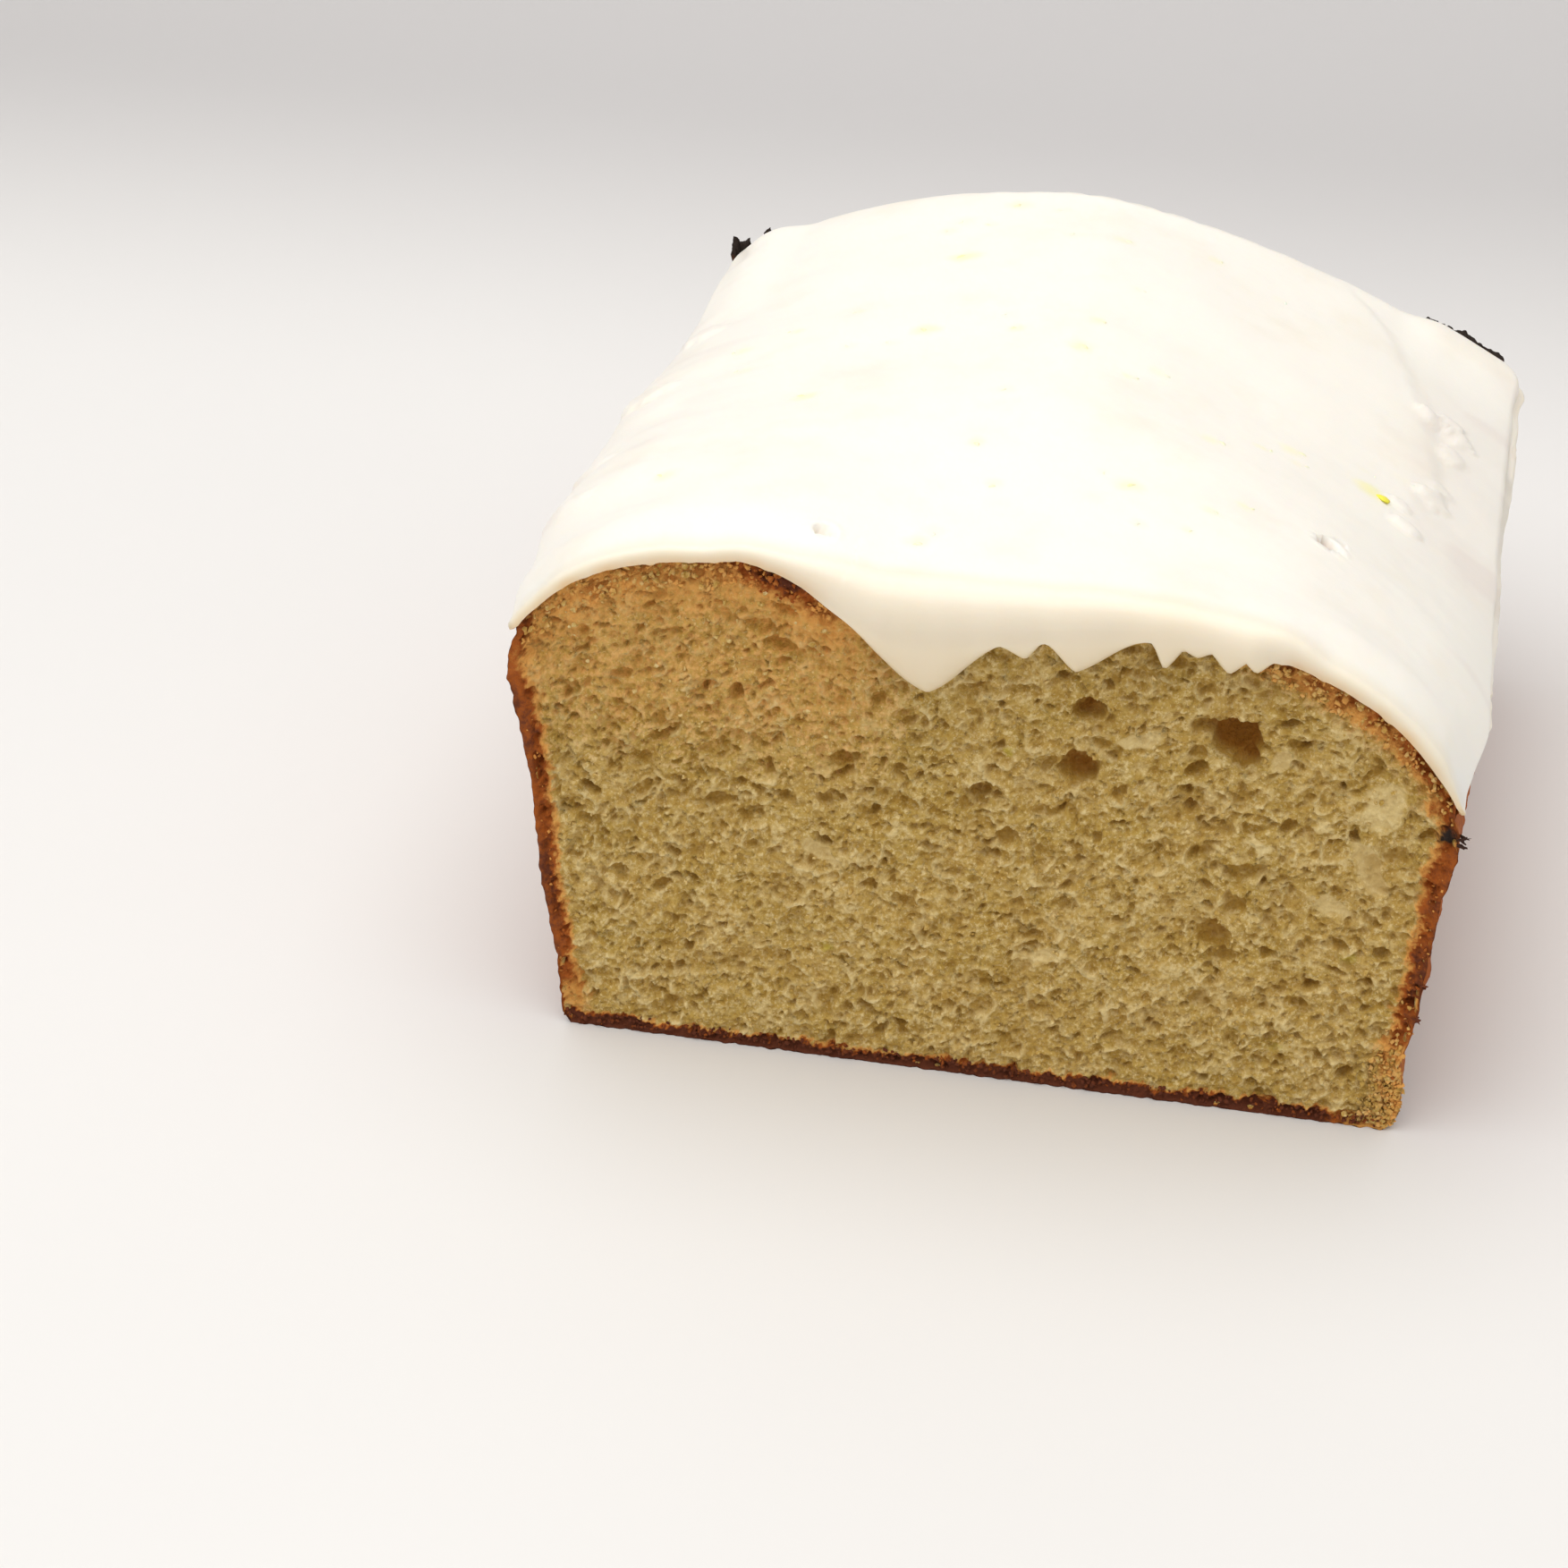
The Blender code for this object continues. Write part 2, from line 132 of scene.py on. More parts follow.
# Places where the knife smeared the crumb smooth: middle across, height, half length, half width, turn, depth
SMEARS = (
    (0.0515, 0.0408, 0.0046, 0.0018, -60.0, 0.0010), (0.0525, 0.0500, 0.0040, 0.0026, 65.0, 0.0002),
    (0.0389, 0.0551, 0.0020, 0.0012, 60.0, 0.0006), (0.0372, 0.0424, 0.0022, 0.0008, -25.0, -0.0005),
    (0.0205, 0.0557, 0.0034, 0.0012, 15.0, 0.0003), (0.0475, 0.0340, 0.0032, 0.0010, -20.0, 0.0004),
    (-0.0455, 0.0690, 0.0022, 0.0007, 0.0, 0.0000), (-0.0210, 0.0330, 0.0036, 0.0012, -35.0, 0.0006),
    (0.0100, 0.0210, 0.0030, 0.0010, 25.0, 0.0005),
)

# Zest baked into the crumb: middle across, height, radius
CRUMB_ZEST = (
    (0.0503, 0.0264, 0.0016), (0.0417, 0.0114, 0.0011), (-0.0200, 0.0180, 0.0013),
    (0.0040, 0.0520, 0.0010),
)

# The black spot where batter touched the tin's hot rim: place on the cut face, and its radius
BURNT_SPOT = (0.0612, 0.0470, 0.0013)

# Thorns of burnt batter on the right wall: height and length
THORNS = ((0.0238, 0.0006), (0.0188, 0.0008), (0.0471, 0.0010), (0.0462, 0.0008))

# Drips over the cut face: middle, length, reach to the left and to the right, how proud they stand
DRIPS = (
    (-0.0065, 0.0082, 0.0115, 0.0100, 0.0034), (0.0060, 0.0030, 0.0040, 0.0026, 0.0020),
    (0.0125, 0.0052, 0.0042, 0.0092, 0.0023), (0.0236, 0.0046, 0.0018, 0.0036, 0.0020),
    (0.0278, 0.0023, 0.0040, 0.0036, 0.0010), (0.0318, 0.0038, 0.0034, 0.0034, 0.0012),
    (0.0352, 0.0026, 0.0024, 0.0026, 0.0008),
)
HEM = (0.0010, 0.0375, 0.0006)
LEAST_DROP = 0.0001
LIP_DEPTH = 0.0024
DRIP_SPREAD = 1.5
ARC_ENDS = (-0.0195, 0.0365)

# How far the icing runs down the side walls and the far end
RUN_LEFT = 0.0110
RUN_RIGHT = 0.0060
RUN_END = 0.0055
RUN_WAVES = ((0.041, 0.45, 0.3), (0.019, 0.30, 1.9), (0.0083, 0.12, 0.7))
RUN_STARTS = 0.019

# How thick the icing stands on the side walls, as a share of the side coat: along the loaf, left and right
SIDE_DEPTHS = (
    (0.000, 0.16, 0.05), (0.011, 0.45, 0.10), (0.019, 0.90, 0.70), (0.026, 1.00, 0.95),
    (0.040, 1.00, 0.62), (0.070, 0.85, 0.55), (0.100, 0.80, 0.62), (0.140, 0.80, 0.70),
)

# A fuller coat on the left shoulder, and a thinner one towards the far right
LEFT_FULLNESS = 0.0019
FAR_THINNING = 0.30
FAR_POOL = 0.0014
FAR_LEFT_POOL = 0.0015

# The icing's coat
CRACK_FILL = 0.55
GAP = 0.0003
SKIRT_GAP = 0.0005
LEFT_TAPER = 0.55
RIGHT_TAPER = 0.12
ARC_TAPER = 0.50
LUMPS = ((0.016, 1.0), (0.0065, 0.32), (0.0026, 0.10))

# The line where the thick top coat ends on the right shoulder: along the loaf and across it
BREAK_LINE = (
    (0.068, 0.0500), (0.080, 0.0525), (0.094, 0.0515), (0.107, 0.0488), (0.114, 0.0462), (0.125, 0.0417),
    (0.134, 0.0330),
)
BREAK_STEP = 0.0006
BREAK_WIDTH = 0.0034

# Lumps of sugar on the icing: across, along, radius, height
SUGAR_LUMPS = (
    (0.0506, 0.1018, 0.0020, 0.0009), (0.0533, 0.1038, 0.0024, 0.0010), (0.0553, 0.1012, 0.0020, 0.0008),
    (0.0545, 0.0947, 0.0020, 0.0008), (0.0489, 0.0600, 0.0019, 0.0008), (0.0477, 0.0672, 0.0017, 0.0007),
    (0.0522, 0.0768, 0.0022, 0.0008), (0.0533, 0.0811, 0.0017, 0.0006),
    (-0.0600, 0.0690, 0.0030, 0.0008), (-0.0590, 0.0960, 0.0026, 0.0007),
    (-0.0605, 0.0420, 0.0024, 0.0006), (-0.0585, 0.0240, 0.0020, 0.0005),
)

# Pits in the icing: across, along, radius, depth as a share of the coat
ICING_PITS = ((0.0398, 0.0337, 0.0017, 0.95), (0.0409, 0.0364, 0.0009, 0.7), (-0.0240, 0.0062, 0.0013, 0.45))

# Zest on the icing: across, along, length, strength of its colour
NAMED_ZEST = (
    (0.0452, 0.0654, 0.0024, 1.0), (-0.0209, 0.1044, 0.0022, 0.45), (-0.0217, 0.0756, 0.0020, 0.35),
    (0.0016, 0.0698, 0.0020, 0.35), (-0.0344, 0.0509, 0.0018, 0.40), (-0.0474, 0.0227, 0.0017, 0.35),
    (0.0143, 0.0313, 0.0019, 0.40), (-0.0160, 0.1258, 0.0020, 0.30), (0.0231, 0.0540, 0.0018, 0.25),
    (-0.0102, 0.0087, 0.0016, 0.25),
)

# Burnt flakes at the far corners: place across the end as a share of the rim's half width, the height of the
# tip, and how thick the flake is there
RIGHT_FLAKE = (
    (0.772, 0.0583, 0.0004), (0.812, 0.0574, 0.0005), (0.838, 0.0567, 0.0011), (0.862, 0.0563, 0.0021),
    (0.884, 0.0556, 0.0020), (0.903, 0.0549, 0.0008), (0.928, 0.0541, 0.0008), (0.950, 0.0535, 0.0015),
    (0.957, 0.0532, 0.0010),
)
LEFT_FLAKE = (
    (-0.932, 0.0634, 0.0004), (-0.940, 0.0647, 0.0008), (-0.952, 0.0642, 0.0008),
    (-0.958, 0.0612, 0.0003), (-0.970, 0.0610, 0.0003), (-0.975, 0.0635, 0.0008),
    (-0.981, 0.0626, 0.0011), (-0.987, 0.0632, 0.0013), (-0.990, 0.0642, 0.0011),
    (-0.992, 0.0612, 0.0006),
)
FLAKE_FOOT = 0.0060
FLAKE_KNEE = 0.0022
FLAKE_OUT = (-0.0012, 0.0028, 0.0036)

# The camera, from the middle of the cut face's foot
CAMERA_PLACE = (0.0580, -0.3693, 0.2706)
CAMERA_AIM = (-0.190, 0.836, -0.514)
SENSOR = 36.0


def a_length(name, description, default):
    return FloatProperty(name=name, description=description, default=default, unit="LENGTH", precision=5)


def a_colour(name, description, default):
    return FloatVectorProperty(name=name, description=description, default=default, subtype="COLOR", size=3)


class LoafSettings(PropertyGroup):
    """Sizes and colours of the sponge."""

    pore_count: IntProperty(name="Pores", description="Small pores in the cut face", default=9500, min=0)
    flap_count: IntProperty(name="Flaps", description="Curled flaps of torn crumb", default=520, min=0)
    pore_size: a_length("Pore size", "Least half width of a pore", 0.00017)
    pore_spread: a_length("Pore spread", "How much larger some pores are", 0.00016)
    crust_band: a_length("Crust band", "Browned depth under the crust", 0.0030)
    crust_relief: a_length("Crust relief", "Height of the crust's crags", 0.00055)
    crumb_colour: a_colour("Crumb", "Cut crumb on its ridges", (0.572, 0.378, 0.107))
    # The pore colour is crumb in painted shade: it shades pores and hollows and also gives random dark
    # mottling
    pore_shade_colour: a_colour("Pore", "Crumb deep in a pore", (0.38, 0.205, 0.024))
    # The smear colour is paler smeared crumb, and also the painted highlight on grains that stand proud
    smear_and_highlight_colour: a_colour("Smear", "Crumb that the knife smeared", (0.82, 0.65, 0.32))
    golden_colour: a_colour("Golden crust", "Lightly baked crust", (0.74, 0.36, 0.085))
    baked_colour: a_colour("Baked crust", "Well baked crust", (0.37, 0.090, 0.009))
    dark_colour: a_colour("Dark crust", "Darkest crust and base", (0.12, 0.028, 0.009))
    burnt_colour: a_colour("Burnt", "Burnt flakes and spots", (0.022, 0.013, 0.009))
    zest_colour: a_colour("Zest in crumb", "Zest in the crumb", (0.52, 0.42, 0.03))


class IcingSettings(PropertyGroup):
    """Sizes and colours of the icing."""

    top: a_length("Top coat", "Thickness on the dome", 0.0035)
    side: a_length("Side coat", "Thickness on the sides", 0.0023)
    lump: a_length("Lumps", "Height of the soft lumps", 0.00045)
    zest_count: IntProperty(name="Zest", description="Flecks besides the named ones", default=34, min=0)
    icing_colour: a_colour("Icing", "Thick set icing", (0.92, 0.875, 0.79))
    # The thin colour is partly the real cream of thin, translucent icing and partly painted shade on the
    # turned-down lip, the drips and the runs
    thin_and_shade_colour: a_colour("Thin icing", "Icing where the cake shows through", (0.81, 0.66, 0.42))
    # The streak colour is partly crust seen through thin icing and partly painted shade
    streak_and_shade_colour: a_colour("Streaks", "Icing so thin that the crust dims it", (0.80, 0.72, 0.66))
    glow_colour: a_colour("Glow", "Icing over sunk zest", (0.95, 0.88, 0.36))
    stain_colour: a_colour("Stain", "Icing stained by the crust at the cut", (0.78, 0.46, 0.18))
    bare_colour: a_colour("Bared crust", "Crust at the foot of a pit", (0.42, 0.26, 0.20))
    zest_colour: a_colour("Zest", "Lemon zest", (0.93, 0.80, 0.06))


class StageSettings(PropertyGroup):
    """The floor, the light and the camera."""

    floor_colour: a_colour("Floor", "Pale floor", (0.80, 0.785, 0.765))
    # The backdrop colour is painted shade, where the light falls off behind the cake
    far_shade_colour: a_colour("Backdrop", "Grey behind the cake", (0.56, 0.545, 0.54))
    key_power: FloatProperty(name="Overhead light", description="Its power", default=6.5, unit="POWER")
    fill: FloatProperty(name="Fill", description="Strength of the light from all round", default=0.71)
    lens: FloatProperty(name="Lens", description="Focal length", default=76.0, unit="CAMERA")


def ease(t):
    t = np.clip(t, 0.0, 1.0)
    return t * t * (3.0 - 2.0 * t)


def fade(t):
    return 1.0 - ease(t)


def hill(t):
    return np.exp(-(t**2))


def mix(a, b, t):
    return a + (b - a) * t


def uneven(points, size, seed=0.0):
    """Smooth noise at these points, about -1 to 1, with features of this size."""
    return np.array([noise.noise(Vector(point)) for point in np.asarray(points).reshape(-1, 3) / size + seed])


def on_plan(x, y):
    return np.stack([x, y, 0.0 * x], -1)


def crumbly(points, size, seed=0.0):
    """Noise of several sizes, from this one down."""
    places = np.asarray(points).reshape(-1, 3) / size + seed
    return np.array([noise.fractal(Vector(place), 0.7, 2.1, 4) for place in places])


# The loaf's form

def rim_height(x, y):
    right = mix(*RIM_RIGHT, np.clip(y / LENGTH, 0.0, 1.0))
    return mix(RIM_LEFT, right, (x / RIM_HALF_WIDTH + 1.0) / 2.0)


def plan_reach(x, y):
    """1 on the loaf's outline at the rim, and less inside it."""
    across = np.abs(x / RIM_HALF_WIDTH) ** PLAN_POWER
    along = (np.maximum(y - (LENGTH - END_ROUNDING), 0.0) / END_ROUNDING) ** PLAN_POWER
    return np.clip((across + along) ** (1.0 / PLAN_POWER), 0.0, 1.0)


def crack_depth(x, y):
    half = np.where(x < CRACK_X, CRACK_LEFT, CRACK_RIGHT)
    across = np.cos(0.5 * math.pi * np.clip((x - CRACK_X) / half, -1.0, 1.0)) ** 2
    return CRACK_DEPTH * across * fade(y / CRACK_LENGTH)


def wall_stand(across, y, z):
    """How far the walls stand out across the loaf, for these shares of the half width."""
    near = np.where(across > 0.0, np.interp(z, *np.array(RIGHT_WALL).T), np.interp(z, *np.array(LEFT_WALL).T))
    inland = ease(y / 0.018)
    swell = np.sin(y / 0.0071 + 9.0 * across + z / 0.019) + np.sin(y / 0.0113 - z / 0.008 + 4.0 * across)
    swell = 0.5 * WALL_SWELL * swell * np.clip((LENGTH - 0.012 - y) / 0.03, 0.0, 1.0)
    return np.sign(across) * np.abs(across) ** 4 * mix(near, swell, inland)


def crust_height(x, y):
    """Height of the crust under the icing."""
    swell = np.interp(x, *np.array(CUT_SWELL).T) * fade(y / SWELL_FADES)
    settled = ease(y / DOME_SETTLES)
    side = (x / RIM_HALF_WIDTH + 1.0) / 2.0
    rim = rim_height(x, y)
    crest = mix(*CREST, settled) - mix(*CREST_TILT, settled) * x / RIM_HALF_WIDTH
    power = mix(mix(*SHOULDER_LEFT, settled), mix(*SHOULDER_RIGHT, settled), ease(side))
    dome = (1.0 - plan_reach(x, y) ** power) ** (1.0 / power)
    return rim + (crest - rim) * dome - crack_depth(x, y) + swell


def crust_normal(x, y):
    step = 0.0002
    slope_x = (crust_height(x + step, y) - crust_height(x - step, y)) / (2.0 * step)
    slope_y = (crust_height(x, y + step) - crust_height(x, y - step)) / (2.0 * step)
    normal = np.stack([-slope_x, -slope_y, np.ones_like(slope_x)], -1)
    return normal / np.linalg.norm(normal, axis=-1, keepdims=True)


class Columns:
    """Places on the edge line, anticlockwise from the cut's left corner."""

    def __init__(self, front_steps, side_steps, end_steps):
        front = np.linspace(-1.0, 1.0, front_steps + 1)
        side = np.linspace(0.0, 1.0, side_steps + 1)[1:]
        share = np.linspace(1.0, -1.0, end_steps + 1)[1:]
        across = np.sign(share) * (1.0 - (1.0 - np.abs(share)) ** 2.2)
        straight = (LENGTH - END_ROUNDING) / LENGTH
        bow = (1.0 - np.abs(across) ** PLAN_POWER) ** (1.0 / PLAN_POWER)
        end = straight + (1.0 - straight) * bow
        right, left = side * straight, side[::-1][1:] * straight
        self.front_steps = front_steps
        self.across = np.concatenate([front, np.ones(side_steps), across, -np.ones(side_steps - 1)])
        self.along = np.concatenate([np.zeros(front_steps + 1), right, end, left])
        self.x = self.across * EDGE_HALF_WIDTH
        self.y = self.along * EDGE_LENGTH
        self.count = len(self.x)
        self.front = self.along == 0.0
        self.inner_front = self.front & (np.abs(self.across) < 1.0)
        steps = np.hypot(np.diff(self.x, prepend=self.x[0]), np.diff(self.y, prepend=self.y[0]))
        self.walked = np.cumsum(steps)
        self.edge_z = crust_height(self.x, self.y)
        self.rim_z = rim_height(self.x, self.y)
        end = np.maximum(self.along * LENGTH - (LENGTH - END_ROUNDING), 0.0) / END_ROUNDING
        out_x = np.sign(self.across) * np.abs(self.across) ** (PLAN_POWER - 1.0) / RIM_HALF_WIDTH
        out_y = end ** (PLAN_POWER - 1.0) / END_ROUNDING
        out = np.stack([out_x, out_y, np.zeros_like(out_x)], -1)
        out /= np.linalg.norm(out, axis=-1, keepdims=True) + 1e-12
        out[self.inner_front] = 0.0
        self.out = out

    def ring(self, share):
        """Points over the dome, this share of the way from the middle of the top to the edge."""
        x = self.x * share
        y = TOP_MIDDLE_Y + (self.y - TOP_MIDDLE_Y) * share
        return np.stack([x, y, crust_height(x, y)], -1)

    def at_height(self, z):
        """Points at these heights below the edge, in rows of one point for each column."""
        above = np.clip((self.edge_z - z) / (self.edge_z - self.rim_z), 0.0, 1.0)
        below = np.clip(z / self.rim_z, 0.0, 1.0)
        lean_x = mix(BASE_HALF_WIDTH, RIM_HALF_WIDTH, below) / EDGE_HALF_WIDTH
        lean_y = mix(LENGTH - BASE_SETBACK, LENGTH, below) / EDGE_LENGTH
        over_rim = z > self.rim_z
        scale_x = np.where(over_rim, mix(1.0, RIM_HALF_WIDTH / EDGE_HALF_WIDTH, above), lean_x)
        scale_y = np.where(over_rim, mix(1.0, LENGTH / EDGE_LENGTH, above), lean_y)
        stand = wall_stand(self.across, self.y, z) * (self.along * LENGTH < LENGTH - END_ROUNDING)
        points = np.stack([self.x * scale_x + stand, self.y * scale_y, z], -1)
        foot = FOOT_INSET * np.clip(1.0 - z / FOOT_RADIUS, 0.0, 1.0) ** 2
        return points - self.out * foot[..., None]


def outward_shares(count, crowding):
    """Shares from the middle of the top out to the edge, closer together near the edge."""
    return 1.0 - (1.0 - np.arange(1, count + 1) / count) ** crowding


# Meshes

def grid_faces(start, rows, columns, closed=False):
    """Triangles between rows of points that start at this index, row after row."""
    steps = columns if closed else columns - 1
    row, column = np.meshgrid(np.arange(rows - 1), np.arange(steps), indexing="ij")
    after = (column + 1) % columns
    a = start + row * columns + column
    b = start + (row + 1) * columns + column
    c = start + (row + 1) * columns + after
    d = start + row * columns + after
    return np.concatenate([np.stack([a, b, c], -1).reshape(-1, 3), np.stack([a, c, d], -1).reshape(-1, 3)])


def fan_faces(middle, loop):
    """Triangles from a middle point to a closed loop of points."""
    loop = np.asarray(loop)
    return np.stack([np.full(len(loop), middle), loop, np.roll(loop, -1)], -1)


def band_faces(first, second):
    """Triangles between two closed loops of as many points."""
    first, second = np.asarray(first), np.asarray(second)
    after, below = np.roll(first, -1), np.roll(second, -1)
    return np.concatenate([np.stack([first, second, below], -1), np.stack([first, below, after], -1)])


def new_object(name, data):
    made = bpy.data.objects.new(name, data)
    bpy.context.scene.collection.objects.link(made)
    return made


def new_piece(name, points, faces, material, node, marks, creases=None):
    """Makes a mesh object in the frame that rides on the cake and stands for one of its nodes."""
    mesh = bpy.data.meshes.new(name)
    mesh.from_pydata((np.asarray(points) + CUT_FOOT).tolist(), [], np.asarray(faces).tolist())
    mesh.validate()
    mesh.shade_smooth()
    if creases is not None:
        ends = np.empty(2 * len(mesh.edges), np.int32)
        mesh.edges.foreach_get("vertices", ends)
        code = np.array([len(mesh.vertices), 1])
        sharp = np.isin(np.sort(ends.reshape(-1, 2), 1) @ code, np.sort(creases, 1) @ code)
        mesh.attributes.new("sharp_edge", "BOOLEAN", "EDGE").data.foreach_set("value", sharp)
    for mark, values in marks.items():
        layer = mesh.attributes.new(mark, "FLOAT", "POINT")
        layer.data.foreach_set("value", np.asarray(values, np.float32).ravel())
    mesh.materials.append(material)
    piece = new_object(name, mesh)
    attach(piece, "root")
    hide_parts(node)
    return piece


# The crumb on the cut face

MIDDLING_PORES = 300
GRAINS_IN_CRUMB = 5000


class CutField:
    """How far the crumb lies behind the cut plane, on a grid finer than the mesh."""

    STEP = 0.00012

    def __init__(self, settings):
        self.left, self.foot = -0.066, -0.001
        across = np.arange(self.left, 0.066, self.STEP)
        upward = np.arange(self.foot, 0.079, self.STEP)
        self.x, self.z = np.meshgrid(across, upward)
        self.warp_x = self.soft(0.0021, 1) * 0.00055 + self.soft(0.0008, 2) * 0.00028
        self.warp_z = self.soft(0.0021, 3) * 0.00050 + self.soft(0.0008, 4) * 0.00028
        self.sink = np.zeros_like(self.x)
        self.pale = np.zeros_like(self.x)
        self.carve_all(settings)

    def soft(self, size, seed):
        """Smooth noise over the grid from random values on a coarse lattice."""
        table = np.random.default_rng(seed).uniform(-1.0, 1.0, (97, 89))
        u, v = self.x / size + 1000.0, self.z / size + 1000.0
        i, j = np.floor(u).astype(int), np.floor(v).astype(int)
        s, t = ease(u - i), ease(v - j)
        near = mix(table[i % 97, j % 89], table[(i + 1) % 97, j % 89], s)
        far = mix(table[i % 97, (j + 1) % 89], table[(i + 1) % 97, (j + 1) % 89], s)
        return mix(near, far, t)

    def window(self, x, z, half_width, half_height, turn):
        """The part of the grid round an ellipse, with the square of how far out its points lie."""
        reach = max(half_width, half_height) + 0.0009
        low_x = max(int((x - reach - self.left) / self.STEP), 0)
        low_z = max(int((z - reach - self.foot) / self.STEP), 0)
        part = np.s_[
            low_z : low_z + int(2.0 * reach / self.STEP) + 2, low_x : low_x + int(2.0 * reach / self.STEP) + 2
        ]
        side = self.x[part] + self.warp_x[part] - x
        up = self.z[part] + self.warp_z[part] - z
        cos, sin = math.cos(math.radians(turn)), math.sin(math.radians(turn))
        along = (side * cos + up * sin) / half_width
        over = (up * cos - side * sin) / half_height
        return part, along**2 + over**2

    def carve(self, x, z, half_width, half_height, turn, depth, steepness=0.65):
        part, far = self.window(x, z, half_width, half_height, turn)
        self.sink[part] = np.maximum(self.sink[part], depth * np.clip(1.0 - far, 0.0, 1.0) ** steepness)

    def carve_all(self, settings):
        chance = np.random.default_rng(7)
        for _ in range(settings.pore_count):
            x, z = chance.uniform(-0.064, 0.064), chance.uniform(0.0, 0.077)
            size = min(settings.pore_size + settings.pore_spread * chance.exponential(), 0.0014)
            width, height = size * chance.uniform(1.0, 1.7), size * chance.uniform(0.55, 1.0)
            turn = chance.normal(0.0, 35.0)
            self.carve(x, z, width, height, turn, size * chance.uniform(0.8, 1.8))
        for _ in range(MIDDLING_PORES):
            x, z = chance.uniform(-0.062, 0.062), chance.uniform(0.003, 0.073)
            width = chance.uniform(0.0006, 0.0013)
            self.carve(x, z, width, width * chance.uniform(0.45, 0.85), chance.normal(0.0, 40.0),
                       chance.uniform(0.0005, 0.0010), 0.5)
        for _ in range(settings.flap_count):
            x, z = chance.uniform(-0.062, 0.062), chance.uniform(0.002, 0.074)
            width = chance.uniform(0.0009, 0.0025)
            part, far = self.window(x, z, width, width * chance.uniform(0.45, 0.85), chance.normal(0.0, 45.0))
            angle = chance.uniform(0.0, 2.0 * math.pi)
            toward = ((self.x[part] - x) * math.cos(angle) + (self.z[part] - z) * math.sin(angle)) / width
            curl = hill((np.sqrt(far) - 0.95) / 0.15) * np.clip(1.6 * toward, 0.0, 1.0)
            self.sink[part] += 0.00046 * np.clip(1.0 - far, 0.0, 1.0) ** 0.4 - 0.00048 * curl
            self.pale[part] = np.maximum(self.pale[part], 0.8 * curl)
        for x, z, length, width, turn, depth in SMEARS:
            part, far = self.window(x, z, length, width, turn)
            smooth = fade((far - 0.55) / 0.6)
            bowl = depth * np.clip(1.0 - far, 0.0, 1.0) ** 0.5
            lip = 0.00035 * hill((far - 1.15) / 0.22)
            self.sink[part] = mix(self.sink[part], bowl + 0.25 * self.sink[part], smooth) - lip
            self.pale[part] = np.maximum(self.pale[part], smooth)
        for x, z, width, height, turn, depth in HOLLOWS:
            self.carve(x, z, width, height, turn, depth, 0.42)
        for _ in range(GRAINS_IN_CRUMB):
            x, z = chance.uniform(-0.064, 0.064), chance.uniform(0.0, 0.077)
            size = chance.uniform(0.00016, 0.00038)
            part, far = self.window(x, z, size, size * chance.uniform(0.7, 1.0), 0.0)
            self.sink[part] -= size * 0.85 * np.clip(1.0 - far, 0.0, 1.0) ** 0.5
        self.sink += 0.00040 * self.soft(0.0068, 5) + 0.00018 * self.soft(0.0027, 6)
        walls = 0.00044 * np.abs(self.soft(0.0014, 8)) + 0.00040 * np.abs(self.soft(0.00072, 9))
        walls = walls + 0.00026 * np.abs(self.soft(0.00046, 12))
        self.sink += (walls + 0.00014 * self.soft(0.00036, 10)) * (1.0 - 0.5 * self.pale)
        torn = ease((self.x - 0.0465) / 0.006) * ease((0.0160 - self.z) / 0.007)
        tears = 0.0009 * np.abs(self.soft(0.0013, 13)) + 0.0005 * np.abs(self.soft(0.0006, 14))
        self.sink += torn * (tears - 0.0004)

    def sample(self, field, x, z):
        """The field's value between its grid points."""
        u = np.clip((x - self.left) / self.STEP, 0.0, field.shape[1] - 1.001)
        v = np.clip((z - self.foot) / self.STEP, 0.0, field.shape[0] - 1.001)
        i, j = u.astype(int), v.astype(int)
        s, t = u - i, v - j
        return mix(mix(field[j, i], field[j, i + 1], s), mix(field[j + 1, i], field[j + 1, i + 1], s), t)


def ragged(points):
    """Moves points of the cut's outline a little, the same way for every piece that meets there."""
    shift = np.stack([uneven(points, 0.0013, seed) for seed in (11.0, 23.0, 37.0)], -1)
    return points + shift.reshape(points.shape) * np.array([0.00030, 0.00045, 0.00022])


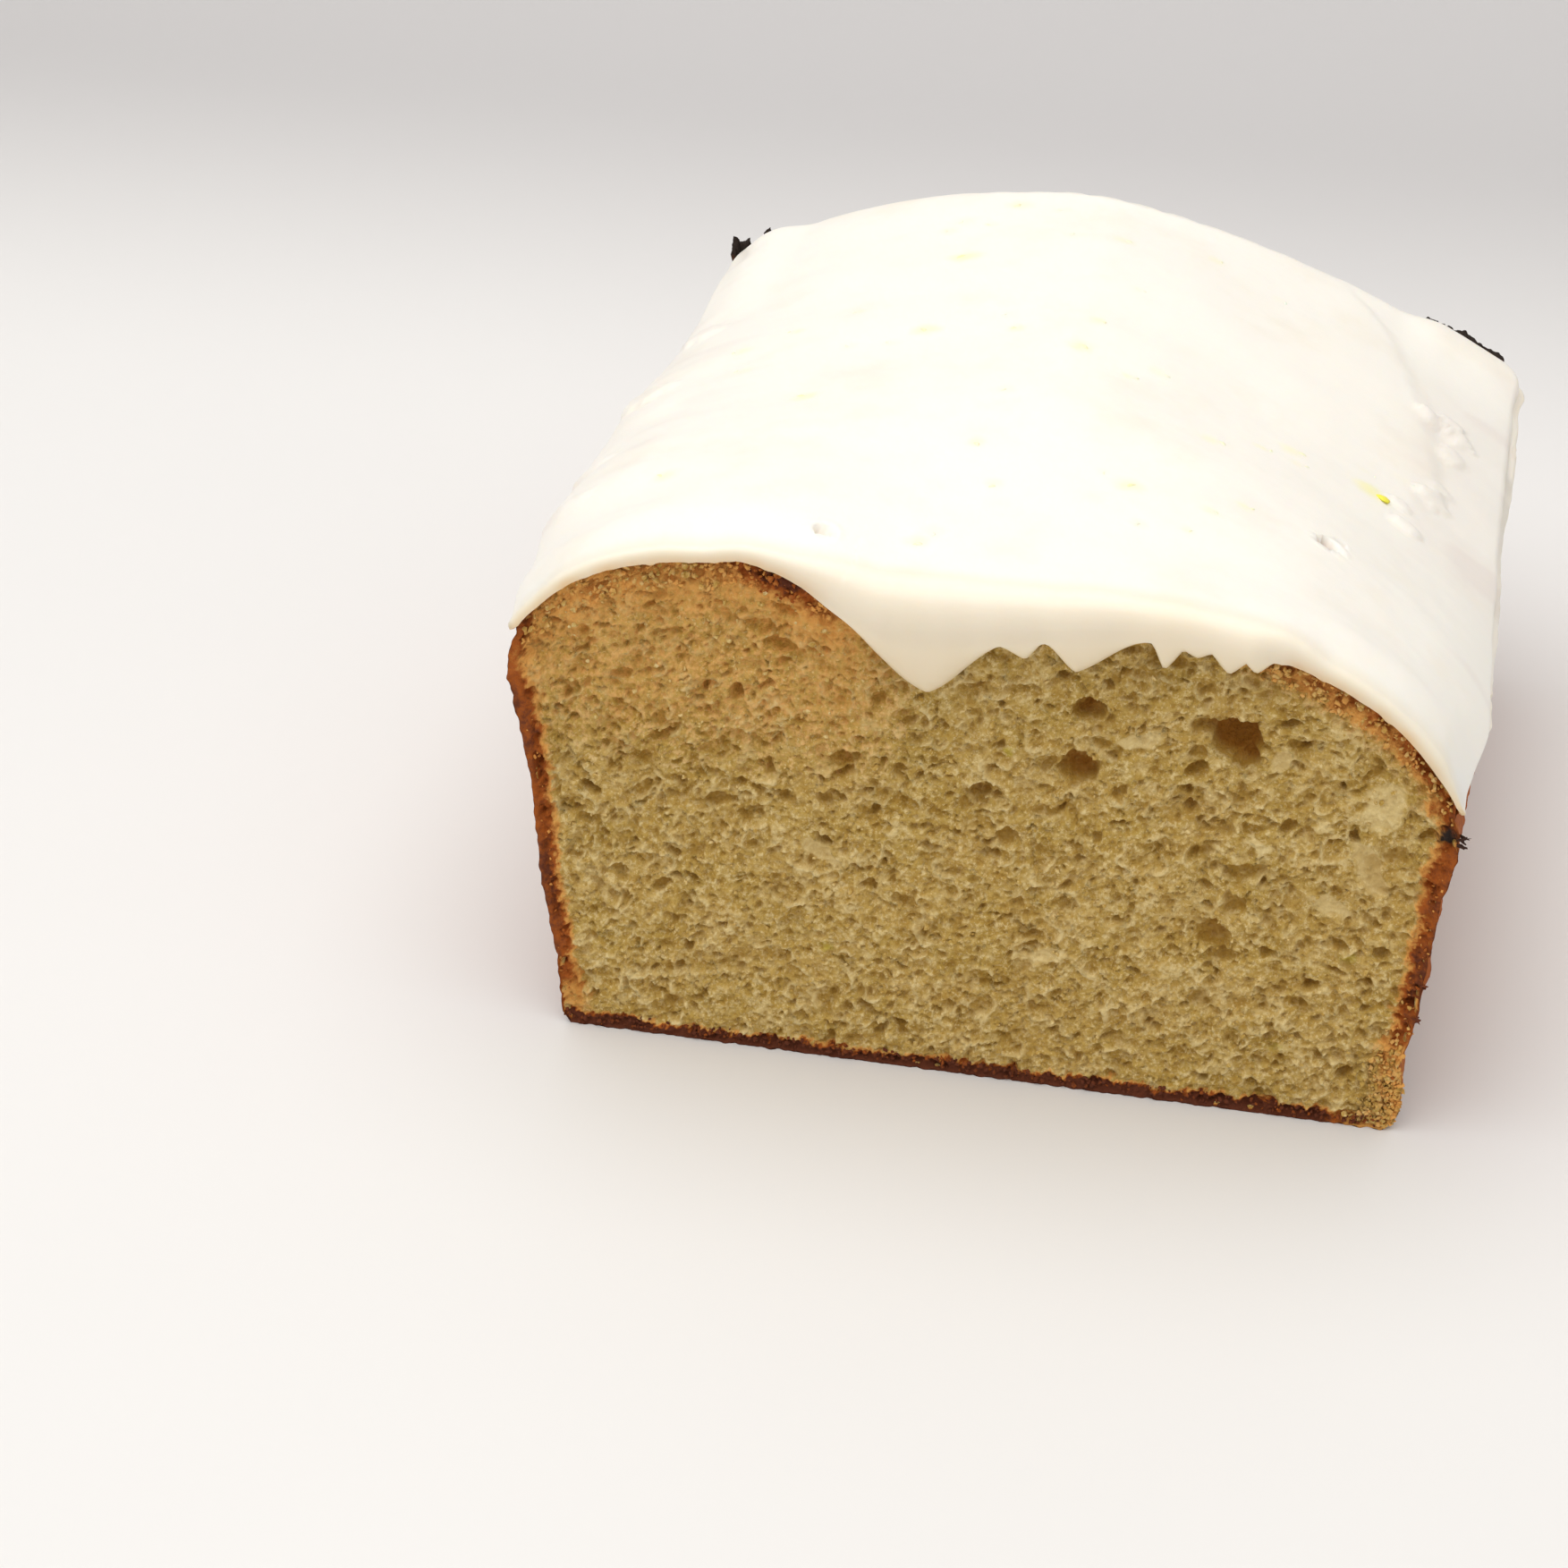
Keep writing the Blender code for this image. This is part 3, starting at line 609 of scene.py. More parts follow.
def browning(x, z, edge_z, points, settings):
    """How far each point of the cut face is baked: 0 crumb, 0.5 golden, 1 brown, 1.4 near black."""
    blur = 0.0006 * uneven(points, 0.0030, 3.0) + 0.0006 * crumbly(points, 0.0011, 5.0)
    slope = np.gradient(edge_z, axis=-1) / np.gradient(x, axis=-1)
    from_arc = (edge_z - z) / np.sqrt(1.0 + slope**2) + blur.reshape(x.shape)
    from_wall = np.abs(x[:, -1:]) - np.abs(x)
    from_wall = np.where(x < 0.0, np.abs(x[:, :1]) - np.abs(x), from_wall) + blur.reshape(x.shape)
    from_base = z + blur.reshape(x.shape)
    under_drips = ease((x + 0.021) / 0.006) * ease((0.037 - x) / 0.010)
    crest = hill((x + 0.027) / 0.006)
    patchy = 0.24 * uneven(points, 0.0022, 33.0).reshape(x.shape)
    mottle = uneven(points, 0.0010, 45.0).reshape(x.shape)
    arc_strength = np.where(x < 0.0, 0.14 + 0.84 * crest, 0.60 + 0.16 * ease((x - 0.048) / 0.010))
    arc_strength = mix(arc_strength, 0.24, under_drips) + 0.8 * patchy + 0.17 * mottle
    arc_strength = arc_strength + (0.05 + 0.30 * crest) * hill(from_arc / 0.0007)
    arc_band = settings.crust_band * mix(1.55, 0.8, under_drips)
    arc = arc_strength * fade((from_arc / arc_band - 0.30) / 0.70)
    warm = 0.15 * fade((from_arc - 0.002) / 0.009) * mix(1.0, 0.4, under_drips)
    warm = warm + 0.24 * ease((z - 0.034) / 0.024) * ease((-0.001 - x) / 0.018)
    low_corner = np.where(x > 0.0, fade((z - 0.010) / 0.007), fade((z - 0.004) / 0.005))
    wall_band = settings.crust_band * mix(1.15, 1.9, low_corner)
    rim = hill((z - np.where(x < 0.0, RIM_LEFT, RIM_RIGHT[0])) / 0.006)
    wall_strength = mix(1.0, 0.36, low_corner) - np.where(x < 0.0, 0.50, 0.12) * rim + 0.5 * patchy
    wall_strength = wall_strength + 0.22 * hill((z - 0.0245) / 0.0065) + 0.30 * low_corner * mottle
    side = wall_strength * fade((from_wall / wall_band - 0.35) / 0.65)
    base_band = settings.crust_band * 0.80
    base_strength = 1.55 - 1.0 * ease((x - 0.0475) / 0.0055) + 0.6 * patchy
    base = base_strength * fade((from_base / base_band - 0.40) / 0.60)
    return np.maximum(np.maximum(arc, side), base) + warm


CRUMB_COLUMNS = 560
CRUMB_ROWS = 328
SLAB_DEPTH = 0.0090
SLAB_MIDDLE = np.array([0.0, 0.0, 0.036])
WALL_BEHIND_SURFACE = 0.0003


def border_of(faces):
    """The indices round the border of a patch of triangles, in order."""
    edges = np.concatenate([faces[:, [0, 1]], faces[:, [1, 2]], faces[:, [2, 0]]])
    inside = {(int(a), int(b)) for a, b in edges}
    following = {a: b for a, b in inside if (b, a) not in inside}
    start = here = next(iter(following))
    loop = [start]
    while following[here] != start:
        here = following[here]
        loop.append(here)
    return np.array(loop)


def closed_slab(points, faces, front, back, on_rim):
    """Closes a patch of triangles with walls tucked just inside its rim and a plain back."""
    loop = border_of(faces)
    inward = (SLAB_MIDDLE - points[loop]) * on_rim[loop][:, None]
    tucked = points[loop] + inward * front[0]
    tucked[:, 1] = np.maximum(front[1], points[loop, 1] + WALL_BEHIND_SURFACE)
    behind = points[loop] + inward * back[0]
    behind[:, 1] = back[1]
    first = len(points) + np.arange(len(loop))
    second = first + len(loop)
    middle = behind.mean(0, keepdims=True)
    closing = [band_faces(loop, first), band_faces(first, second), fan_faces(second[-1] + 1, second)[:, ::-1]]
    return np.concatenate([points, tucked, behind, middle]), np.concatenate([faces] + closing), loop


def make_crumb(settings):
    """The cut face with its pores, in two pieces that meet along a wandering line."""
    field = CutField(settings)
    across = np.linspace(-1.0, 1.0, CRUMB_COLUMNS + 1)
    edge_x = across * EDGE_HALF_WIDTH
    edge_z = np.broadcast_to(crust_height(edge_x, 0.0 * edge_x), (CRUMB_ROWS + 1, CRUMB_COLUMNS + 1))
    z = edge_z * np.linspace(0.0, 1.0, CRUMB_ROWS + 1)[:, None]
    rim = rim_height(edge_x, 0.0 * edge_x)
    below = np.clip(z / rim, 0.0, 1.0)
    above = np.clip((edge_z - z) / (edge_z - rim), 0.0, 1.0)
    lean = mix(BASE_HALF_WIDTH, RIM_HALF_WIDTH, below) / EDGE_HALF_WIDTH
    lean = np.where(z > rim, mix(1.0, RIM_HALF_WIDTH / EDGE_HALF_WIDTH, above), lean)
    foot = FOOT_INSET * np.clip(1.0 - z / FOOT_RADIUS, 0.0, 1.0) ** 2
    x = edge_x * lean - np.sign(across) * np.abs(across) ** 12 * foot + wall_stand(across, 0.0, z)
    to_edge = np.minimum(np.minimum(x[:, -1:] - np.abs(x), z), edge_z - z)
    inner = ease(to_edge / 0.0007)
    sink = field.sample(field.sink, x, z) * inner
    points = np.stack([x, sink, z], -1)
    outline = inner < 1.0
    points[outline] = mix(ragged(points[outline]), points[outline], inner[outline][:, None])
    marks = crumb_marks(field, x, z, edge_z, sink, points, settings)
    seam = CRUMB_COLUMNS / 2.0 + 9.0 * uneven(on_plan(z[:, 0], 0.0 * z[:, 0]), 0.004, 2.0)
    column = np.tile(np.arange(CRUMB_COLUMNS), CRUMB_ROWS)
    row = np.repeat(np.arange(CRUMB_ROWS), CRUMB_COLUMNS)
    on_left = np.tile(column < seam[row], 2)
    outer = np.zeros(x.shape, bool)
    outer[[0, -1]] = True
    outer[:, [0, -1]] = True
    faces = grid_faces(0, CRUMB_ROWS + 1, CRUMB_COLUMNS + 1)[:, ::-1]
    material = sponge_material("cut_crumb", settings, 0.9)
    for name, part in (("crumb_left", faces[on_left]), ("crumb_right", faces[~on_left])):
        used, renumbered = np.unique(part, return_inverse=True)
        on_rim = outer.ravel()[used]
        whole, shell, loop = closed_slab(points.reshape(-1, 3)[used], renumbered.reshape(-1, 3),
                                         (0.012, 0.0008), (0.016, SLAB_DEPTH), on_rim)
        border = np.stack([loop, np.roll(loop, -1)], -1)
        creases = border[~on_rim[border].all(1)]
        hidden = len(whole) - len(used)
        part_marks = {
            mark: np.concatenate([values.ravel()[used], np.zeros(hidden)]) for mark, values in marks.items()
        }
        new_piece(name, whole, shell, material, "sponge", part_marks, creases)
    return field


def crumb_marks(field, x, z, edge_z, sink, points, settings):
    """What the sponge's material needs to know of each point of the cut face."""
    bake = browning(x, z, edge_z, points, settings)
    wander = uneven(points, 0.0009, 9.0).reshape(x.shape)
    spot_x, spot_z, spot = BURNT_SPOT
    near_spot = np.hypot(x - spot_x, z - spot_z) + 0.0009 * wander
    zest = np.zeros_like(x)
    for zest_x, zest_z, radius in CRUMB_ZEST:
        near = np.hypot(x - zest_x, z - zest_z) + 0.0009 * wander
        zest = np.maximum(zest, fade(near / radius))
    return {
        # The pit mark is how deep a point lies behind the cut; the material paints shade in pores from it and
        # a highlight on proud grains
        "pit": np.clip((sink - 0.00030) / 0.0011, -0.5, 3.5),
        "bake": bake,
        "pale": field.sample(field.pale, x, z) * (bake < 0.3),
        "burnt": fade((near_spot / spot - 0.6) / 0.7),
        "zest": zest,
    }


# The baked crust

SPONGE_MARKS = ("bake", "pit", "pale", "burnt", "zest")
WALL_ROWS = 96
BASE_RINGS = 5
TOP_RINGS = 12


def crust_crags(points, out, settings, bare):
    """Roughness of the baked skin: wrinkles, crags and a few open pores."""
    rough = uneven(points, 0.0055) + 0.5 * uneven(points, 0.0024, 4.0)
    fine = crumbly(points, 0.0013, 8.0)
    pores = np.clip(uneven(points, 0.0019, 31.0) - 0.34, 0.0, 1.0)
    height = settings.crust_relief * rough + 0.00012 * fine - 0.0016 * pores
    return points + out * (height * bare)[:, None], rough, fine, pores


def crust_marks(count, **given):
    """The sponge material's marks for this many points, 0 where none is given."""
    return {mark: given.get(mark, np.zeros(count)) for mark in SPONGE_MARKS}


def wall_tones(points, rough, fine):
    """How baked the skin is: streaked and mottled, darker and patchier towards the foot."""
    streak = uneven(points * np.array([1.0, 1.0, 0.35]), 0.0075, 51.0)
    low = fade((points[:, 2] - 0.003) / 0.016)
    tone = 0.90 + 0.20 * streak + 0.10 * rough + 0.12 * fine
    tone += low * (0.10 + 0.28 * uneven(points, 0.0100, 71.0))
    tone += 0.42 * fade(points[:, 2] / 0.0022)
    return np.clip(tone, 0.42, 1.4)


def make_crust(settings):
    """The baked skin of the sides, far end, underside and dome, open to the crumb at the cut."""
    columns = Columns(130, 230, 200)
    count = columns.count
    shares = outward_shares(TOP_RINGS, 1.8)
    rows = [columns.ring(0.0)[:1]] + [columns.ring(share) for share in shares]
    bake = [np.full(len(row), 0.9) for row in rows]
    pits = [np.zeros(len(row)) for row in rows]
    for fraction in np.linspace(1.0, 0.0, WALL_ROWS + 1)[1:]:
        points = columns.at_height(columns.edge_z * fraction)
        under_icing = ease((columns.edge_z - 0.0035 - points[:, 2]) / 0.0020)
        bare = under_icing * ease(points[:, 1] / 0.0015) * ease(points[:, 2] / FOOT_RADIUS)
        row, rough, fine, pores = crust_crags(points, columns.out, settings, bare)
        row[columns.front] = ragged(row[columns.front])
        rows.append(row)
        bake.append(wall_tones(points, rough, fine))
        # Open pores in the crust get a pit mark, so the material paints shade in them
        pits.append(2.2 * pores)
    foot = rows[-1]
    for ring in range(1, BASE_RINGS + 1):
        inward = 1.0 - (ring / (BASE_RINGS + 1.0)) ** 1.2
        row = foot * np.array([inward, inward, 0.0])
        row[:, 1] += 0.5 * LENGTH * (1.0 - inward)
        row[:, 2] = 0.00012 + 0.00010 * uneven(row, 0.004)
        rows.append(row)
        bake.append(1.22 + 0.2 * uneven(row, 0.006, 5.0))
        pits.append(np.zeros(count))
    rows.append(np.array([[0.0, LENGTH / 2.0, 0.00012]]))
    bake.append(np.full(1, 1.2))
    pits.append(np.zeros(1))
    points = np.concatenate(rows)
    edge_row = 1 + (TOP_RINGS - 1) * count
    foot_row = edge_row + WALL_ROWS * count
    walls = grid_faces(edge_row, WALL_ROWS + 1, count, closed=True)
    in_front = np.tile(np.tile(np.arange(count), WALL_ROWS) < columns.front_steps, 2)
    last_ring = foot_row + BASE_RINGS * count + np.arange(count)
    shell = np.concatenate(
        [
            fan_faces(0, 1 + np.arange(count)),
            grid_faces(1, TOP_RINGS, count, closed=True),
            walls[~in_front],
            grid_faces(foot_row, BASE_RINGS + 1, count, closed=True),
            fan_faces(len(points) - 1, last_ring)[:, ::-1],
        ]
    )
    used, renumbered = np.unique(shell, return_inverse=True)
    whole, faces, _ = closed_slab(points[used], renumbered.reshape(-1, 3), (0.006, 0.0012),
                                  (0.008, SLAB_DEPTH + 0.0004), np.ones(len(used)))
    hidden = len(whole) - len(used)
    marks = crust_marks(
        len(whole),
        bake=np.concatenate([np.concatenate(bake)[used], np.full(hidden, 0.9)]),
        pit=np.concatenate([np.concatenate(pits)[used], np.zeros(hidden)]),
    )
    material = sponge_material("baked_crust", settings, 0.45)
    return new_piece("crust", whole, faces, material, "sponge", marks)


# Crumbs that stand proud, and the burnt flakes

LOOSE_GRAINS = 900
ARC_GRAINS = 900
WALL_GRAINS = 150
BASE_GRAINS = 320
CORNER_GRAINS = 620
THORN_SPLINTERS = 4
BURNT_TONE = 1.7


def rough_ball():
    """Points and triangles of a small ball."""
    golden = (1.0 + math.sqrt(5.0)) / 2.0
    corners = []
    for a in (-1.0, 1.0):
        for b in (-golden, golden):
            corners += [(0.0, a, b), (a, b, 0.0), (b, 0.0, a)]
    corners = np.array(corners) / math.hypot(1.0, golden)
    faces = []
    for i in range(12):
        for j in range(i + 1, 12):
            for k in range(j + 1, 12):
                a, b, c = corners[i], corners[j], corners[k]
                if max(np.linalg.norm(a - b), np.linalg.norm(b - c), np.linalg.norm(c - a)) < 1.1:
                    faces.append((i, j, k) if np.dot(np.cross(b - a, c - a), a) > 0.0 else (i, k, j))
    return corners, np.array(faces)


def scattered(places, chance):
    """Small irregular crumbs at these places: each is (point, three half sizes, turn, marks)."""
    ball, faces = rough_ball()
    points, triangles, marks = [], [], []
    for number, (place, sizes, turn, mark) in enumerate(places):
        lumpy = ball * chance.uniform(0.50, 1.45, (12, 1)) * np.asarray(sizes)
        spun = np.array([turn @ Vector(corner) for corner in lumpy])
        points.append(spun + place)
        triangles.append(faces + 12 * number)
        marks.append(np.full(12, mark))
    return np.concatenate(points), np.concatenate(triangles), np.concatenate(marks)


def any_turn(chance):
    return Quaternion(chance.normal(0.0, 1.0, 4)).normalized()


def wall_at(side, z):
    """How far the wall on this side stands from the middle at the cut, at this height."""
    rim = RIM_RIGHT[0] if side > 0.0 else RIM_LEFT
    plain = mix(BASE_HALF_WIDTH, RIM_HALF_WIDTH, min(z / rim, 1.0))
    return plain + side * float(wall_stand(side, 0.0, z))


def make_crags(settings, field):
    """Loose grains on the cut, crumbs along its edges, the torn low corner and the thorns on the walls."""
    chance = np.random.default_rng(21)
    places = []
    for _ in range(LOOSE_GRAINS):
        x, z = chance.uniform(-0.0562, 0.0562), chance.uniform(0.003, 0.072)
        if z > float(crust_height(np.array(x), np.array(0.0))) - 0.004:
            continue
        size = chance.uniform(0.00016, 0.00040)
        y = float(field.sample(field.sink, np.array([x]), np.array([z]))[0])
        if y > 0.0010:
            continue
        places.append(((x, y - 0.2 * size, z), size * chance.uniform(0.7, 1.3, 3), any_turn(chance), 0.0))
    for _ in range(ARC_GRAINS):
        x = chance.uniform(-1.0, 1.0) * EDGE_HALF_WIDTH
        z = float(crust_height(np.array(x), np.array(0.0)))
        if -0.020 < x < 0.036:
            continue
        size = chance.uniform(0.00018, 0.00042)
        place = (x * 0.99, chance.uniform(-0.0001, 0.0004), z - chance.uniform(0.0004, 0.0042))
        tone = chance.uniform(0.12, 0.40) + 0.60 * math.exp(-(((x + 0.027) / 0.006) ** 2))
        places.append((place, size * chance.uniform(0.4, 1.5, 3), any_turn(chance), tone))
    for _ in range(WALL_GRAINS):
        side = 1.0 if chance.random() < 0.6 else -1.0
        z = chance.uniform(0.001, RIM_RIGHT[0] if side > 0.0 else RIM_LEFT)
        size = chance.uniform(0.00012, 0.00026)
        inside = wall_at(side, z) - chance.uniform(0.0002, 0.0020)
        place = (side * inside, chance.uniform(0.0001, 0.0010), z)
        places.append((place, size * chance.uniform(0.4, 1.4, 3), any_turn(chance), chance.uniform(0.5, 1.0)))
    for _ in range(BASE_GRAINS):
        x = chance.uniform(-BASE_HALF_WIDTH, BASE_HALF_WIDTH)
        size = chance.uniform(0.00016, 0.00036)
        place = (x, chance.uniform(-0.0003, 0.0004), chance.uniform(0.0005, 0.0022))
        places.append((place, size * chance.uniform(0.6, 1.3, 3), any_turn(chance), chance.uniform(1.1, 1.5)))
    for _ in range(CORNER_GRAINS):
        z = abs(chance.normal(0.0, 0.0065)) + 0.0006
        size = chance.uniform(0.00016, 0.00046)
        inward = abs(chance.normal(0.0, 0.0022))
        place = (wall_at(1.0, z) - inward - 0.0001, chance.uniform(0.0000, 0.0010), z)
        tone = chance.uniform(0.16, 0.60) * math.exp(-inward / 0.0045)
        places.append((place, size * chance.uniform(0.4, 1.4, 3), any_turn(chance), tone))
    for z, reach in THORNS:
        wall = wall_at(1.0, z)
        for _ in range(THORN_SPLINTERS):
            outward = 0.3 * reach * chance.random()
            place = (wall + outward, chance.normal(0.0, 0.0003), z + chance.normal(0.0, 0.0003))
            lean = Quaternion((0.0, 1.0, 0.0), chance.normal(0.0, 0.7))
            lean = lean @ Quaternion((0.0, 0.0, 1.0), chance.normal(0.0, 0.4))
            tone = BURNT_TONE if z > 0.040 else 1.35
            places.append((place, (reach * chance.uniform(0.7, 1.1), 0.00016, 0.00020), lean, tone))
    points, faces, bake = scattered(places, chance)
    low = points[:, 2] < 0.0001
    points[low, 2] = 0.0001
    marks = crust_marks(len(points), bake=bake, burnt=np.where(bake == BURNT_TONE, 0.8, 0.0))
    material = sponge_material("loose_crumbs", settings, 0.6)
    crumbs = new_piece("crumbs", points, faces, material, "sponge", marks)
    crumbs.data.shade_flat()
    return crumbs


def flake_profile(across, tip_z, thickness):
    """Points round a flake's section where it leaves the far wall, from its foot out and over its tip."""
    straight = LENGTH - END_ROUNDING
    x = across * RIM_HALF_WIDTH
    bow = max(1.0 - abs(across) ** PLAN_POWER, 0.0) ** (1.0 / PLAN_POWER)
    y = straight + END_ROUNDING * bow
    out_x = math.copysign(abs(across) ** (PLAN_POWER - 1.0) / RIM_HALF_WIDTH, across)
    out_y = bow ** (PLAN_POWER - 1.0) / END_ROUNDING
    out = np.array([out_x, out_y, 0.0]) / math.hypot(out_x, out_y)
    rim = float(rim_height(np.array(x), np.array(y)))
    along = ((rim - FLAKE_FOOT, rim - FLAKE_KNEE, tip_z), FLAKE_OUT, (0.0004, 0.0005, 0.5 * thickness))
    spine = [np.interp(np.linspace(0.0, 2.0, 9), (0.0, 1.0, 2.0), values) for values in along]
    inner = [np.array([x, y, height]) + out * (reach - half) for height, reach, half in zip(*spine)]
    outer = [np.array([x, y, height]) + out * (reach + half) for height, reach, half in zip(*spine)]
    cap = np.array([x, y, tip_z + 0.35 * thickness]) + out * FLAKE_OUT[2]
    return inner + [cap] + outer[::-1]


def make_flakes(settings):
    """The ragged burnt flanges at the two far corners."""
    points, faces = [], []
    start = 0
    for stations in (RIGHT_FLAKE, LEFT_FLAKE):
        stations = np.array(sorted(stations))
        fine = np.linspace(0.0, len(stations) - 1.0, 9 * len(stations))
        spread = [np.interp(fine, np.arange(len(stations)), stations[:, k]) for k in range(3)]
        rows = np.array([flake_profile(*station) for station in zip(*spread)])
        size = rows.shape[1]
        flat = rows.reshape(-1, 3)
        shake = np.stack([crumbly(flat, 0.0013, seed) for seed in (1.0, 19.0, 41.0)], -1)
        flat = flat + shake * 0.00042
        ends = [flat[:size].mean(0), flat[-size:].mean(0)]
        points += [flat, np.array(ends)]
        last = start + len(flat)
        faces.append(grid_faces(start, len(rows), size, closed=True))
        faces.append(fan_faces(last, start + np.arange(size)))
        faces.append(fan_faces(last + 1, last - size + np.arange(size))[:, ::-1])
        start = last + 2
    points, faces = np.concatenate(points), np.concatenate(faces)
    rim = rim_height(points[:, 0], points[:, 1])
    burnt = ease((points[:, 2] - rim + 0.003) / 0.004)
    marks = crust_marks(len(points), bake=1.05 + 0.3 * uneven(points, 0.003), burnt=burnt)
    material = sponge_material("burnt_batter", settings, 0.5)
    return new_piece("burnt_flakes", points, faces, material, "sponge", marks)


# The icing

def arc_share(x, width):
    """1 where the cut's crust shows between the drips and the walls, 0 under the drips."""
    return np.maximum(ease((ARC_ENDS[0] - x) / width), ease((x - ARC_ENDS[1]) / width))


def icing_coat(points, settings):
    """Thickness of the icing over these points of the dome, and how well it covers the crust, with painted
    shade worked into that cover.
    """
    x, y = points[:, 0], points[:, 1]
    rightward, leftward = x / EDGE_HALF_WIDTH, -x / EDGE_HALF_WIDTH
    outer = ease((plan_reach(x, y) - 0.55) / 0.45)
    cut = fade(y / 0.012)
    coat = mix(settings.top, settings.side, outer * (1.0 - 0.5 * cut))
    coat = coat * mix(1.0, LEFT_TAPER, cut * ease((leftward - 0.88) / 0.12))
    coat = coat * mix(1.0, ARC_TAPER, arc_share(x, 0.008) * fade(y / 0.009))
    for size, share in LUMPS:
        coat = coat + settings.lump * share * uneven(points, size, 100.0 * size)
    coat = coat + CRACK_FILL * crack_depth(x, y)
    break_y, break_x = np.array(BREAK_LINE).T
    line = np.interp(y, break_y, break_x) + 0.0014 * uneven(points, 0.0045, 7.0)
    along = ease((y - break_y[0]) / 0.006) * ease((break_y[-1] - y) / 0.006)
    past = ease((x - line) / BREAK_WIDTH + 0.5)
    coat = coat + BREAK_STEP * along * (0.5 - past) * ease((x - line + 0.014) / 0.014)
    left = ease((leftward - 0.55) / 0.35) * ease((y - 0.014) / 0.016) * ease((0.100 - y) / 0.030)
    coat = coat + LEFT_FULLNESS * left * (1.0 + 0.35 * uneven(points, 0.011, 43.0))
    coat = coat * (1.0 - FAR_THINNING * ease((x + 0.020) / 0.030) * ease((y - 0.095) / 0.035))
    coat = coat + FAR_POOL * ease((rightward - 0.70) / 0.12) * ease((y - 0.118) / 0.016)
    pool = ease((leftward - 0.80) / 0.12) * (1.0 - 0.45 * ease((leftward - 0.93) / 0.07))
    coat = coat + FAR_LEFT_POOL * pool * ease((y - 0.100) / 0.022)
    for lump_x, lump_y, radius, height in SUGAR_LUMPS:
        far = np.hypot(x - lump_x, y - lump_y) / (1.25 * radius) + 0.42 * uneven(points, 0.0015, 13.0)
        coat = coat + 0.8 * height * fade((far - 0.55) / 0.55)
    streak = uneven(points * np.array([0.35, 1.0, 0.35]), 0.0050, 61.0) + 0.5 * uneven(points, 0.0150, 67.0)
    coat = coat + 0.00006 * streak * outer * (1.0 - cut)
    # Streaks on the outer slopes lower the cover: partly thin icing, partly painted streak shadows
    cover_and_shade = 1.0 - 0.55 * outer * (1.0 - cut) * ease((streak - 0.05) / 0.5)
    # Painted shade on the right shoulder past the break line, where the side turns away from the light
    cover_and_shade = cover_and_shade - 0.35 * ease((y - 0.045) / 0.020) * ease((x - 0.0465) / 0.005) * ease((0.1300 - y) / 0.020)
    coat = coat * mix(1.0, RIGHT_TAPER, fade(y / 0.020) * ease((rightward - 0.925) / 0.075))
    bare = np.zeros_like(x)
    for pit_x, pit_y, radius, depth in ICING_PITS:
        far = np.hypot(x - pit_x, y - pit_y) / radius + 0.35 * uneven(points, 0.0011, 17.0)
        hole = fade((far - 0.45) / 0.5)
        lip = 0.00035 * hill((far - 1.15) / 0.25)
        coat = mix(coat, coat * (1.0 - depth), hole) + lip
        bare = np.maximum(bare, hole * ease((depth - 0.3) / 0.6))
    return coat, cover_and_shade, bare


def zest_places(settings):
    """The named slivers of zest, then the scattered ones: (across, along, length, strength)."""
    chance = np.random.default_rng(5)
    flecks = list(NAMED_ZEST)
    for _ in range(settings.zest_count):
        reach = chance.uniform(0.05, 0.93) ** 0.6
        angle = chance.uniform(0.0, 2.0 * math.pi)
        x = reach * math.cos(angle) * 0.056
        y = TOP_MIDDLE_Y + reach * math.sin(angle) * 0.062
        flecks.append((x, y, chance.uniform(0.0008, 0.0018), chance.uniform(0.08, 0.30)))
    return flecks


def glow_of_zest(points, flecks):
    """How much yellow shows through the icing over each sliver."""
    glow = np.zeros(len(points))
    wander = 0.30 * uneven(points, 0.0022, 93.0)
    for x, y, length, strength in flecks:
        near = np.hypot(points[:, 0] - x, points[:, 1] - y) / (1.5 * length) + wander
        glow = np.maximum(glow, min(1.5 * strength, 1.0) * fade(near))
    return glow


